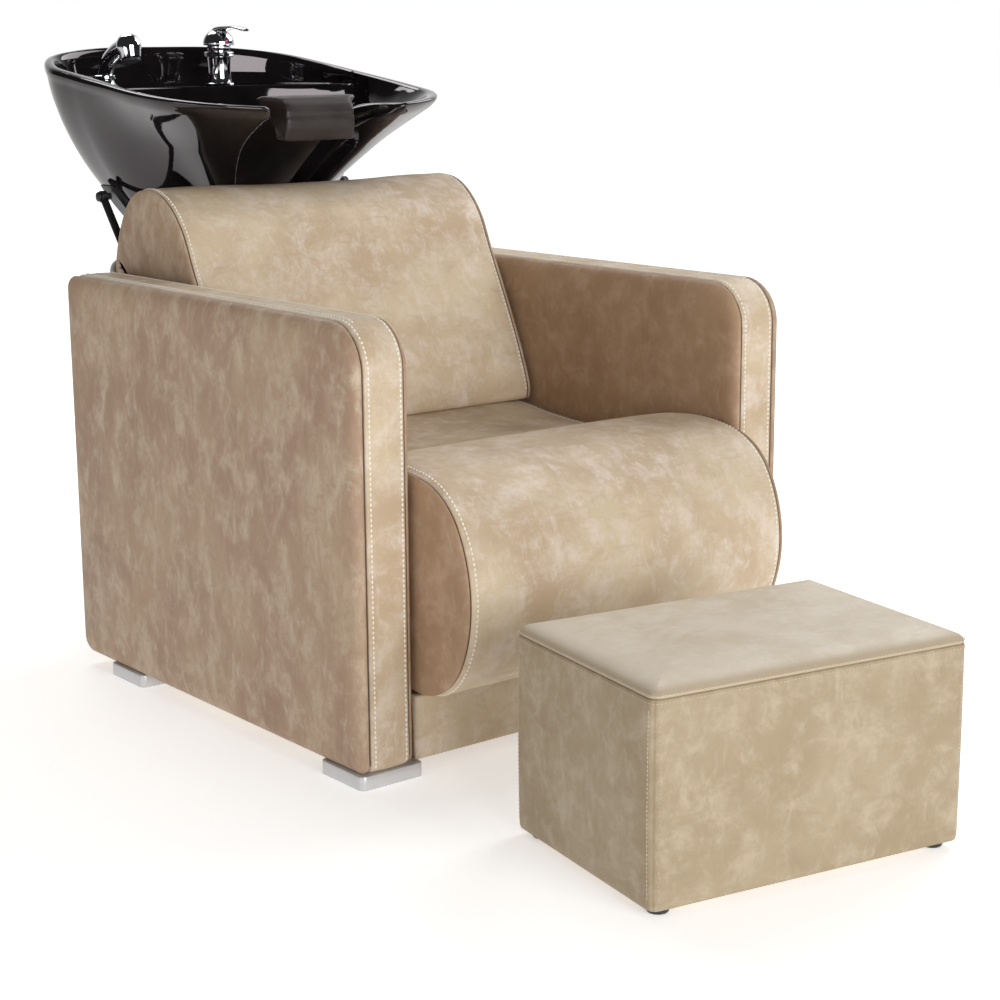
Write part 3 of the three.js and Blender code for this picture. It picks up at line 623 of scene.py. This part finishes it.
back_outline = closed_outline(np.vstack([bezier(BACK_CURVE, 40), BACK_HIDDEN]), 240)
y, z = back_outline.T
upper = smooth(560, 640, z)
shown = smooth(745, 700, y) * smooth(384, 420, z)
stitched = (z > 392) & (y < 740 + 30 * upper) & ((z > 420) | (y < 480))
back_seam = cushion("back", back_outline, 0.3 + 0.7 * upper, shown, stitched,
                    BACK_SEAM, 280.5, 266, "leather_side")

# Dark cords in the cushions' side seams: painted shade.
seam_shadow_line("seat_seam_shadows", [side_ring(seat_seam, s * SEAT_SEAM) for s in (1, -1)])
seam_shadow_line("back_seam_shadows", [side_ring(back_seam, s * BACK_SEAM) for s in (1, -1)])

low, high = box_mm("kick_panel")
kick_rings = []
for x in np.linspace(low[0], high[0], 41):
    front = low[1] - 1.5 + 1.6 * smooth(12, 0, high[0] - abs(x))
    outline = rounded_outline((front, low[2]), (high[1], high[2]), (4, 2, 2, 4), 0, 6, 6)
    kick_rings.append(side_ring(outline, x))
kick = loft("kick_pad", kick_rings, MAT["leather_seat"])
finish_piece(kick, "chair", "leather", "kick_panel")


# ---- Footstool -----------------------------------------------------------------------------
STOOL = {"x": -122, "y": -417, "yaw": math.radians(-10), "w": 217.5, "d": 150, "floor": 9, "seam": 252}
STOOL_ARC, STOOL_EDGE = 15, 26
STOOL_CORNERS = [corner * (STOOL_ARC + STOOL_EDGE) + STOOL_ARC // 2 for corner in range(4)]
FINE_STITCH = {"pitch": 5.0, "length": 3.5, "width": 1.0, "height": 0.8}


def stool_place(points):
    points = np.asarray(points, float)
    c, s = math.cos(STOOL["yaw"]), math.sin(STOOL["yaw"])
    x, y = points[..., 0].copy(), points[..., 1].copy()
    out = points.copy()
    out[..., 0] = STOOL["x"] + c * x - s * y
    out[..., 1] = STOOL["y"] + s * x + c * y
    return out


def stool_outline(inset, radius=12.0, notch=0.0):
    """Plan outline of the stool. notch cuts the sewn corner seams."""
    points = rounded_outline((-STOOL["w"], -STOOL["d"]), (STOOL["w"], STOOL["d"]), (radius,) * 4, inset,
                             STOOL_ARC, STOOL_EDGE)
    normals = outline_normals(points)
    for middle in STOOL_CORNERS:
        near = np.clip(1 - np.abs(np.arange(len(points)) - middle) / 1.5, 0, 1)
        points -= normals * (notch * near)[:, None]
    return points


def stool_ring(z, inset, notch=0.0, radius=12.0, bulge=0.0):
    points = stool_outline(inset, radius, notch)
    normals = outline_normals(points)
    edge = np.where(np.abs(normals[:, 0]) > 0.9, 1 - (points[:, 1] / STOOL["d"]) ** 4,
                    1 - (points[:, 0] / STOOL["w"]) ** 4)
    return flat_ring(points + normals * (bulge * np.clip(edge, 0, 1))[:, None], z)


def stool_swell(z):
    """How far the stool's stuffed sides stand out at a height."""
    return 5.0 * np.sin(math.pi * (z - STOOL["floor"]) / (STOOL["seam"] - STOOL["floor"]))


low_z, seam_z = STOOL["floor"], STOOL["seam"]
body_steps = [(low_z + 0.5, 14, 0), (low_z, 5, 0), (low_z + 1.5, 1.8, 0), (low_z + 5, 0.4, 0)]
body_steps += [(z, 0, stool_swell(z)) for z in np.linspace(low_z + 12, seam_z - 10, 22)]
body_steps += [(seam_z - 4, 0.0, 0.4), (seam_z - 1.4, 0.3, 0), (seam_z - 0.2, 1.5, 0), (seam_z - 0.1, 12, 0)]
rings = [stool_ring(z, i, 1.0 if i < 2 else 0, bulge=b) for z, i, b in body_steps]
stool = loft("stool_side_cover", stool_place(rings), MAT["leather_stool"])
finish_piece(stool, "footstool", "leather", "stool_body", fill=0.8)

top_steps = [(0.2, 12), (0.3, 1.5), (1.4, 0.4), (3.2, 0.2), (5, 0.9), (7.4, 2.8), (9.8, 6), (12, 11),
             (14, 18), (15.8, 28), (16.8, 42), (18, 65), (19, 95), (19.4, 130)]
rings = [stool_ring(seam_z + rise, inset, radius=14.0) for rise, inset in top_steps]
# The lid's leather is painted lighter than the sides, as light on the top.
lid = loft("stool_pad", stool_place(rings), MAT["leather_lid_painted_light"])
finish_piece(lid, "footstool", "leather", "stool_top", fill=0.75)

stool_origin = stool_place(np.zeros(3))
stool_rows = []
for z in (seam_z + 4.5, seam_z - 4.5):
    ring = stool_ring(z, 0.1, bulge=0.4)
    normals = flat_ring(outline_normals(ring[:, :2]), 0)
    row, facing = (np.vstack([values, values[:1]]) for values in (ring, normals))
    stool_rows.append((stool_place(row), stool_place(facing) - stool_origin))
heights = np.linspace(low_z + 14, seam_z - 12, 30)
columns = np.array([stool_ring(z, 0, bulge=stool_swell(z)) for z in heights])
normals = flat_ring(outline_normals(stool_outline(0)), 0)
for middle in STOOL_CORNERS:
    for index in (middle - 5, middle + 5):
        facing = stool_place(np.repeat(normals[index:index + 1], len(heights), axis=0)) - stool_origin
        stool_rows.append((stool_place(columns[:, index]), facing))
stitch_row("stool_stitches", stool_rows, "footstool", MAT["thread_dull"], FINE_STITCH)


def turned(name, profile, centre, node, body="basin_unit", slot="chrome", **shape):
    """A turned fitting in the place of a CAD part, of the material its slot is named after."""
    return finish_piece(lathe(name, profile, centre, MAT[slot], **shape), body, slot, node)


for end in ("front", "rear"):
    for _, suffix in SIDES:
        node = f"stool_foot_{end}_{suffix}"
        low, high = box_mm(node)
        turned(f"stool_glide_{end}_{suffix}", [(9, 0.1), (12, 0.8), (13, 2.2), (13.6, 5), (13.8, 8.6)],
               (*(low + high)[:2] / 2, 0), node, "footstool", "plastic", steps=40)


# ---- Basin ---------------------------------------------------------------------------------
RIM = np.array([(0, 1108, 929), (130, 1100, 927), (225, 1058, 916), (263, 985, 901), (267, 900, 889),
                (266, 800, 876), (264, 720, 865), (252, 655, 857), (222, 612, 851), (175, 580, 846),
                (110, 562, 842), (0, 553, 838)], float)
BASIN = {"y": 862, "bottom": 596, "waist": 0.16, "wall": 14, "rim": 17, "crown": 1.5, "floor": 614,
         "deck": 867, "edge": 938, "sweep": 42, "drop": 0.35, "blend": 9, "least": 0.12, "drain_y": 861,
         "drain_r": 24}
NOTCH = {"half": 100, "grow": 24, "spread": 78, "spread_depth": 0.22, "depth": 88, "dip": 9, "sharp": 0.86,
         "end": 1.06}
RIM_STEPS = 400


def rim_curve(points, per_part):
    """Centripetal spline through a closed ring of points."""
    out = []
    for i in range(len(points)):
        a, b, c, d = (points[(i + k) % len(points)] for k in (-1, 0, 1, 2))
        ab, bc, cd = (math.sqrt(np.linalg.norm(q - p)) for p, q in ((a, b), (b, c), (c, d)))
        start = ((b - a) / ab - (c - a) / (ab + bc) + (c - b) / bc) * bc
        end = ((c - b) / bc - (d - b) / (bc + cd) + (d - c) / cd) * bc
        for t in np.linspace(0, 1, per_part, endpoint=False):
            out.append(b + start * t + (3 * (c - b) - 2 * start - end) * t ** 2
                       + (2 * (b - c) + start + end) * t ** 3)
    return np.array(out)


def notch_bite(x, y, u, grow=0.0):
    half = NOTCH["half"] + grow + NOTCH["spread"] * (1 - np.exp(-u / NOTCH["spread_depth"]))
    bite = 1 - smooth(NOTCH["sharp"] * half, NOTCH["end"] * half, np.abs(x))
    return np.where(y > BASIN["y"], 0, bite)


def outer_skin(rim, u, grow=0.0):
    """Points of the outer skin: u is 0 at the rim, 1 at the foot of the bowl."""
    x, y, z = rim.T
    side, shoulder = smooth(640, 900, y), smooth(120, 250, np.abs(x))
    front_fall = (1 - u) ** mix(1.5, 1.22, shoulder)
    side_fall = (1 - u ** 1.65) ** (1 / 1.62)
    scale = BASIN["waist"] + (1 - BASIN["waist"]) * mix(front_fall, side_fall, side)
    bite = notch_bite(x, y, u, grow)
    back = y + NOTCH["depth"] * bite
    top = z - NOTCH["dip"] * bite
    return np.stack([x * scale, BASIN["y"] + (back - BASIN["y"]) * scale, mix(top, BASIN["bottom"], u)], 1)


def inside_skin(rim, u):
    """Points one wall thickness inside the outer skin."""
    u = np.broadcast_to(u, len(rim))
    p = outer_skin(rim, u, NOTCH["grow"])
    radius = np.hypot(p[:, 0], p[:, 1] - BASIN["y"])
    inset = mix(BASIN["rim"], BASIN["wall"], smooth(0, 0.2, u)) * (1 - 0.5 * u ** 4)
    keep = np.maximum(1 - inset / radius, 0.1)
    z = np.maximum(p[:, 2] + BASIN["wall"] * 1.3 * smooth(0, 0.45, u), BASIN["floor"])
    return np.stack([p[:, 0] * keep, BASIN["y"] + (p[:, 1] - BASIN["y"]) * keep, z], 1)


def behind_edge(p):
    return p[:, 1] - (BASIN["edge"] - BASIN["sweep"] * (p[:, 0] / 220) ** 2)


def edge_depth(rim):
    """The depth at which the inner skin below each rim point passes the deck's front edge."""
    low, high = np.zeros(len(rim)), np.ones(len(rim))
    none = behind_edge(inside_skin(rim, 0.0)) <= 0
    for _ in range(30):
        u = (low + high) / 2
        behind = behind_edge(inside_skin(rim, u)) > 0
        low, high = np.where(behind, u, low), np.where(behind, high, u)
    return np.where(none, 0, low)


def inner_skin(rim, k, solved):
    """Inner skin: k runs from 0 at the rim through 1 at the deck's edge to 2 at the foot."""
    edge = np.maximum(solved, BASIN["least"])
    u = edge * k if k < 1 else mix(edge, 1, k - 1)
    p = inside_skin(rim, u)
    gap = np.abs(p[:, 2] - BASIN["deck"])
    h = np.maximum(BASIN["blend"] - gap, 0) / BASIN["blend"]
    deck = np.maximum(p[:, 2], BASIN["deck"]) + h * h * BASIN["blend"] * 0.25
    on_deck = smooth(0.02, 0.3, solved) * (1 - smooth(1, 1 + BASIN["drop"], k))
    p[:, 2] = mix(p[:, 2], deck, on_deck)
    fold = np.abs(np.sin(math.pi * np.clip(p[:, 0] / 236, -1, 1))) ** 0.8
    above = smooth(BASIN["deck"] + 6, BASIN["deck"] + 22, p[:, 2])
    p[:, 1] += 7 * fold * smooth(1000, 1050, p[:, 1]) * above * smooth(0.0, 0.3, k)
    return p


def turn_over(start, corner, end):
    """Rings that bend from one ring to another, drawn towards the corner ring."""
    return [(1 - t) ** 2 * start + 2 * t * (1 - t) * corner + t * t * end for t in np.linspace(0.1, 1, 10)]


mirrored = RIM[1:-1][::-1] * np.array([-1, 1, 1])
dense = rim_curve(np.vstack([RIM, mirrored]), 80)
cut, dense = (np.vstack([ring, ring[:1]]) for ring in (outer_skin(dense, 0.0), dense))
along = running(cut)
rim = anticlockwise(at_lengths(np.linspace(0, along[-1], RIM_STEPS, endpoint=False), along, dense))
solved = edge_depth(rim)
plain = 1 - notch_bite(rim[:, 0], rim[:, 1], 0.0, 16.0)
swell = 12.0 * plain * smooth(900, 660, rim[:, 1])
bead = 8.0 * plain
outer = []
for u in np.linspace(1, 0.065, 70):
    ring = outer_skin(rim, u)
    ring[:, :2] += outline_normals(ring[:, :2]) * (swell * (1 - smooth(0.0, 0.30, u)))[:, None]
    outer.append(ring)
top_out, top_in = outer_skin(rim, 0.0), inner_skin(rim, 0.0, solved)
middle = mix(top_out, top_in, 0.5)
corner_out, corner_in = top_out.copy(), top_in.copy()
corner_out[:, :2] += outline_normals(top_out[:, :2]) * bead[:, None]
middle[:, 2] = corner_out[:, 2] = corner_in[:, 2] = top_out[:, 2] + BASIN["crown"]
crest = turn_over(outer[-1], corner_out, middle) + turn_over(middle, corner_in, inner_skin(rim, 0.07, solved))
inner = [inner_skin(rim, k, solved) for k in np.r_[np.linspace(0.10, 1, 44), np.linspace(1.025, 2, 46)]]
angle = np.arctan2(rim[:, 1] - BASIN["y"], rim[:, 0])
drain = np.stack([BASIN["drain_r"] * np.cos(angle), BASIN["drain_y"] + BASIN["drain_r"] * np.sin(angle)], 1)
drains = [flat_ring(drain, z) for z in (BASIN["floor"], BASIN["bottom"])]
basin = loft("basin_bowl", [*outer, *crest, *inner, *drains], MAT["glaze"], closed=True)
finish_piece(basin, "basin_unit", "ceramic", "basin")


# ---- Neck rest -----------------------------------------------------------------------------
PAD = [(617, 790), (611.5, 808), (610, 822), (613, 827), (611.5, 833), (617, 846), (630, 854), (645, 857),
       (668, 854), (682, 846), (689, 836), (691, 827), (681, 824), (673, 833), (665, 839), (641, 839),
       (636, 833), (635, 792)]
pad_outline = np.array(PAD, float)
pad_outline = closed_outline(np.array(PAD, float), 150, 3)
pad_normals = outline_normals(pad_outline)
pad_end = [(76, -0.2), (79, 0.3), (81, 1.3), (82.2, 3), (82.6, 5)]
pad_rings = []
for x, inset in [(-x, i) for x, i in pad_end[::-1]] + [(x, -0.5) for x in np.linspace(-70, 70, 29)] + pad_end:
    ring = pad_outline - pad_normals * inset
    spread = smooth(622, 650, ring[:, 0]) * smooth(700, 640, ring[:, 0] - 0.6 * (ring[:, 1] - 840))
    points = side_ring(ring, x)
    points[:, 0] *= 0.76 + 0.30 * spread
    over_rim = smooth(84, 92, np.abs(points[:, 0])) * smooth(612, 640, points[:, 1])
    over_rim *= smooth(690, 668, points[:, 1])
    points[:, 2] = mix(points[:, 2], np.maximum(points[:, 2], 846.5), over_rim)
    pad_rings.append(points)
neck = loft("neck_pad", pad_rings, MAT["pad"])
finish_piece(neck, "neck_rest", "pad_rubber", "neck_rest", fill=0.9)


# ---- Waste ---------------------------------------------------------------------------------
DRAIN = (0, BASIN["drain_y"], 0)
turned("waste_ring", [(20, 584), (23, 584), (23, 615.5), (26, 616), (27, 617), (26.6, 618.6), (25, 619.4),
                      (22.5, 619), (20.5, 617.5)], DRAIN, "waste_flange", steps=72, closed=True)
turned("strainer_cup", [(0.2, 602), (18.4, 602), (19, 603), (19, 616), (18.2, 617), (12, 618.4), (6.4, 619.2),
                        (5.2, 621), (5, 626), (5.8, 627.4), (5.6, 629), (4, 630), (0.2, 630.4)],
       DRAIN, "strainer", "strainer")
turned("waste_lock_nut", [(23.4, 584), (29, 584), (30, 585), (30, 594), (29, 595), (23.4, 595)], DRAIN,
       "waste_nut", slot="plastic", steps=12, closed=True)
turned("waste_pipe", [(15, 562), (17.6, 562), (18, 563), (18.4, 575), (19.4, 576), (19.4, 582), (18.8, 583),
                      (16, 583)], DRAIN, "waste_tailpiece", slot="plastic", steps=48, closed=True)


# ---- Mixer ---------------------------------------------------------------------------------
DECK = BASIN["deck"] + 0.3
MIX_X, MIX_Y, SWIVEL = 65, 1011, 930
MIX_FOOT, MIX_BALL = (MIX_X, MIX_Y, DECK), (MIX_X, MIX_Y, SWIVEL)

turned("mixer_foot", [(23.6, 0), (24.8, 0.4), (25.2, 1.3), (24.8, 2.4), (23.4, 3.4), (21, 4)], MIX_FOOT,
       "mixer_base_ring", steps=72, sharp=28)
turned("mixer_barrel", [(15, 32), (15, 8), (17, 4.4), (20.2, 4.4), (20.8, 5.4), (20.4, 7), (19.4, 12),
                        (18.9, 20), (19, 30), (19.7, 40), (20.4, 45), (20, 46), (15, 46)], MIX_FOOT,
       "mixer_body", steps=72, sharp=28, closed=True)
turned("mixer_ring", [(15.4, 46.3), (22.6, 46.3), (24.4, 47), (25, 48.3), (24.6, 49.6), (23.5, 50.3),
                      (24.3, 51), (24.8, 52.3), (24.2, 53.6), (22.4, 54.4), (15.4, 54.4)], MIX_FOOT,
       "mixer_collar", steps=72, sharp=28, closed=True)
ball = [(20 * math.cos(math.radians(a)), 20 * math.sin(math.radians(a))) for a in range(-20, 88, 6)]
turned("mixer_ball", [(0.2, -29), (14.6, -29), (14.6, -7.5), *ball, (0.2, 20)], MIX_BALL,
       "mixer_cartridge", "mixer_cartridge", steps=72, sharp=28)


def blade_rings(path, sides=28):
    """Rings along the blade's path from [Y, Z, half width, share of it upright]."""
    points = np.array([(MIX_X, MIX_Y + y, SWIVEL + z) for y, z, _, _ in path], float)
    c, s = (np.sign(v) * np.abs(v) ** 0.8 for v in circle(sides))
    across = np.array([1.0, 0, 0])
    rings = []
    for i, (_, _, width, flat) in enumerate(path):
        ahead = points[min(i + 1, len(path) - 1)] - points[max(i - 1, 0)]
        up = np.cross(ahead / np.linalg.norm(ahead), across)
        rings.append(points[i] + np.outer(c, across) * width + np.outer(s, up) * width * flat)
    return rings


dome = lathe("mixer_handle", [(0.2, 20.6), (6, 20.2), (14, 15.2), (18.6, 9), (20.6, 3), (24.6, 2.4),
                              (26, 3.4), (26.3, 6), (25.8, 10), (24.2, 15), (21.4, 19.6), (17, 24),
                              (11.4, 27.4), (5.6, 29.2), (0.2, 29.8)], MIX_BALL, MAT["chrome"], steps=72,
             closed=True)
blade = loft("mixer_blade", blade_rings((
    (8, 20, 9, 0.55), (2, 24.5, 12.6, 0.52), (-6, 27.6, 13.4, 0.46), (-18, 29.6, 12.4, 0.38),
    (-32, 30.8, 11, 0.32), (-48, 31.4, 10, 0.29), (-62, 31, 9.4, 0.27), (-74, 29.4, 9.2, 0.27),
    (-82, 27.6, 8.6, 0.28), (-87, 26.8, 6.6, 0.34), (-90, 27.4, 2.2, 0.7))), MAT["chrome"])
finish_piece(joined(dome, blade, 32), "mixer_lever", "chrome", "mixer_lever")

dot_at = np.array([MIX_X, MIX_Y - 26.2, SWIVEL + 8])
vertices, faces = [], []
for start in (90, 270):
    half = [(0, 0)] + arc((0, 0), 3.6, start, start + 180, 16)
    faces += ring_faces(3, len(half), base=len(vertices))
    for depth, scale in ((1.5, 1.0), (-0.4, 1.0), (-0.9, 0.85)):
        vertices += [dot_at + np.array([p[0] * scale, depth, p[1] * scale]) for p in half]
dots = new_object("mixer_dot", vertices, faces, MAT["red"])
dots.data.materials.append(MAT["blue"])
for index, polygon in enumerate(dots.data.polygons):
    polygon.material_index = index * 2 // len(faces)
finish_piece(dots, "mixer_lever", "indicator", "mixer_indicator")


# ---- Handset -------------------------------------------------------------------------------
HAND_X, HAND_Y, HEAD_Y, HEAD_Z = -152, 1011, 926, 933
HAND_FOOT, HAND_HEAD = (HAND_X, HAND_Y, DECK), (HAND_X, HEAD_Y, HEAD_Z)
LEAN = Vector((0, -math.sin(math.radians(14)), -math.cos(math.radians(14))))

turned("handset_seat", [(12.4, 0), (20.6, 0), (21.4, 1), (21.2, 2.6), (18.4, 4.4), (16.8, 7), (16.2, 11.4),
                        (15.4, 12), (12.4, 12)], HAND_FOOT, "handset_guide", sharp=28, closed=True)
turned("handset_seat_ring", [(12.4, 12.3), (17.4, 12.3), (18.6, 13.2), (18.8, 15.6), (18.4, 18), (17.2, 19),
                             (12.4, 19)], HAND_FOOT, "handset_guide_collar", sharp=28, closed=True)
hand_path = bezier([(HAND_Y, DECK + 2), (HAND_Y, DECK + 15), (HAND_Y - 2, DECK + 26),
                    (HAND_Y - 16, DECK + 40), (HAND_Y - 36, DECK + 56), (HAND_Y - 60, HEAD_Z - 3),
                    (HEAD_Y + 4, HEAD_Z)], 16)
hand_path = np.column_stack([np.full(len(hand_path), HAND_X), hand_path])
hand_radii = np.interp(np.linspace(0, 1, len(hand_path)), (0, 0.18, 0.3, 0.6, 0.92, 1),
                       (11.2, 11.2, 12.4, 12.8, 14, 14.4))
wand = tube("handset_wand", hand_path, hand_radii, MAT["chrome"], sides=40)
head = lathe("handset_head", [(0.2, -19.6), (6, -18.8), (11.5, -16.2), (16, -11.8), (19, -6), (20, 0),
                              (19.7, 5), (18.4, 11), (17.4, 16), (17, 20), (15.8, 21), (0.2, 21)],
             HAND_HEAD, MAT["chrome"], axis=LEAN, sharp=32)
finish_piece(joined(wand, head, 34), "hand_shower", "chrome", "handset")
turned("handset_spray", [(0.2, 21.3), (14.6, 21.3), (15.2, 22), (15.2, 25.6), (14.4, 26.6), (12.8, 27),
                         (12.2, 26.2), (0.2, 26.2)], HAND_HEAD, "spray_face", "hand_shower", "plastic",
       axis=LEAN, steps=56)


# ---- Support, and the CAD parts that keep their shapes --------------------------------------
CAD_LOOKS = {
    "black_steel": ("support_crossbar", "support_column", "column_plate", "cradle_band"),
    "plastic": ("column_foot", "tilt_lever"),
    "plywood": ("arm_frame_left", "arm_frame_right", "stool_base_board", "seat_deck", "front_rail",
                "rear_rail", "side_rail_left", "side_rail_right", "deck_leg_front_left",
                "deck_leg_front_right", "back_board"),
    "cover": ("rear_cover",),
}
for look, nodes in CAD_LOOKS.items():
    for node in nodes:
        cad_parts[node].data.materials[0] = MAT[look]

PIVOT_X, PIVOT_Y, PIVOT_Z = 221, 905, 700
for side, suffix in SIDES:
    low, _ = box_mm(f"strut_{suffix}")
    pivot = (side * PIVOT_X, PIVOT_Y, PIVOT_Z)
    foot = np.array([pivot[0], low[1] + 12, low[2] + 4])
    rod = tube(f"strut_rod_{suffix}", [mix(foot, np.array(pivot), t) for t in np.linspace(0, 1, 12)], 6.2,
               MAT["black_steel"], sides=28)
    eye = lathe(f"strut_eye_{suffix}", [(6, -5), (8.6, -5), (9.2, -4.4), (9.2, 4.4), (8.6, 5), (6, 5)],
                pivot, MAT["black_steel"], axis=(1, 0, 0), steps=48, closed=True)
    bolt = lathe(f"pivot_screw_{suffix}", [(0.2, -13), (5.2, -13), (5.6, -12.4), (5.6, 6.9), (7.4, 6.9),
                                           (7.8, 7.6), (7.2, 9.4), (4.6, 10.4), (0.2, 10.8)], pivot,
                 MAT["black_steel"], axis=(side, 0, 0), steps=40)
    finish_piece(bolt, "chair", "steel", f"pivot_bolt_{suffix}")
    finish_piece(rod, "chair", "black_steel", f"strut_{suffix}")
    finish_piece(eye, "chair", "black_steel")


# ---- Stage, light and camera ----------------------------------------------------------------
def stage_floor():
    """Paper that glows for the camera, more further out, and faintly for every other ray."""
    n = Nodes("stage_paper", (0.9, 0.9, 0.9), 0.9)
    away = n.add("ShaderNodeVectorMath", {0: n.coordinates}, operation="LENGTH").outputs["Value"]
    seen = n.add("ShaderNodeLightPath").outputs["Is Camera Ray"]
    glow = n.math("MULTIPLY", n.ramp(away, 0.6, 2.6, 0.48, 1.0), seen)
    unseen = n.math("MULTIPLY", n.math("SUBTRACT", 1.0, seen), 0.44)
    paper = n.give(Base_Color=n.blend(n.noise(30, 3, 0.5), (0.88, 0.88, 0.88), (0.91, 0.91, 0.91)),
                   Emission_Color=(1, 1, 1), Emission_Strength=n.math("ADD", glow, unseen))
    corners = [(x, y, 0.0) for x, y in ((-30, -30), (30, -30), (30, 30), (-30, 30))]
    new_object("stage_floor", corners, [(0, 1, 2, 3)], paper, metres=True)


def softbox(name, location, target, size, power):
    data = bpy.data.lights.new(name, "AREA")
    data.shape, data.size, data.size_y, data.energy = "RECTANGLE", size[0], size[1], power
    obj = bpy.data.objects.new(name, data)
    obj.location = location
    obj.rotation_euler = (Vector(target) - Vector(location)).to_track_quat("-Z", "Y").to_euler()
    bpy.context.scene.collection.objects.link(obj)


def camera():
    """The photo's viewpoint: back_axis points from the chair to the camera."""
    azimuth, elevation, roll = (math.radians(v) for v in (-38.728, 12.516, -0.373))
    back_axis = Vector((math.sin(azimuth) * math.cos(elevation), -math.cos(azimuth) * math.cos(elevation),
                        math.sin(elevation)))
    level = Vector((math.cos(azimuth), math.sin(azimuth), 0))
    up = back_axis.cross(level)
    right = level * math.cos(roll) + up * math.sin(roll)
    up = up * math.cos(roll) - level * math.sin(roll)
    data = bpy.data.cameras.new("camera")
    data.lens, data.sensor_width = 74.36, 36
    data.clip_start, data.clip_end = 0.1, 60
    obj = bpy.data.objects.new("camera", data)
    turn = Matrix((right, up, back_axis)).transposed().to_4x4()
    obj.matrix_world = Matrix.Translation((-1.79476, -2.30868, 0.93561)) @ turn
    bpy.context.scene.collection.objects.link(obj)
    bpy.context.scene.camera = obj


stage_floor()
camera()
softbox("key", (-0.75, -6.6, 1.5), (0, 0, 0.42), (4.5, 3.0), 305)
softbox("top", (0.2, 1.9, 2.9), (0, 0.0, 0.4), (1.7, 1.7), 34)
softbox("right", (2.5, 0.3, 2.4), (0, 0.1, 0.6), (1.8, 1.8), 46)
softbox("side", (-3.5, -0.9, 0.6), (0, 0.0, 0.35), (1.8, 1.0), 14)


def studio_world():
    """White where the camera looks past the floor, a soft fill on matt surfaces,
    and in gloss a dark room with a bright wall behind."""
    world = bpy.data.worlds.new("studio")
    bpy.context.scene.world = world
    world.use_nodes = True
    tree = world.node_tree
    rays = tree.nodes.new("ShaderNodeLightPath")
    fill = tree.nodes["Background"]
    last = fill.outputs[0]
    fill.inputs["Color"].default_value = (1, 0.94, 0.87, 1)
    fill.inputs["Strength"].default_value = 0.26
    for ray, strength in (("Is Glossy Ray", 0.025), ("Is Camera Ray", 1.0)):
        other = tree.nodes.new("ShaderNodeBackground")
        other.inputs["Color"].default_value = (1, 1, 1, 1)
        other.inputs["Strength"].default_value = strength
        choose = tree.nodes.new("ShaderNodeMixShader")
        tree.links.new(rays.outputs[ray], choose.inputs[0])
        tree.links.new(last, choose.inputs[1])
        tree.links.new(other.outputs[0], choose.inputs[2])
        last = choose.outputs[0]
        if ray == "Is Glossy Ray":
            toward = tree.nodes.new("ShaderNodeVectorMath")
            toward.operation = "DOT_PRODUCT"
            toward.inputs[1].default_value = (0.62, 0.78, 0.0)
            tree.links.new(tree.nodes.new("ShaderNodeTexCoord").outputs["Generated"], toward.inputs[0])
            wall = tree.nodes.new("ShaderNodeMapRange")
            reach = {"From Min": 0.5, "From Max": 0.92, "To Min": strength, "To Max": 0.9}
            for socket, number in reach.items():
                wall.inputs[socket].default_value = number
            tree.links.new(toward.outputs["Value"], wall.inputs["Value"])
            tree.links.new(wall.outputs["Result"], other.inputs["Strength"])
    tree.links.new(last, tree.nodes["World Output"].inputs["Surface"])


studio_world()
bpy.context.scene.view_settings.view_transform = "Standard"
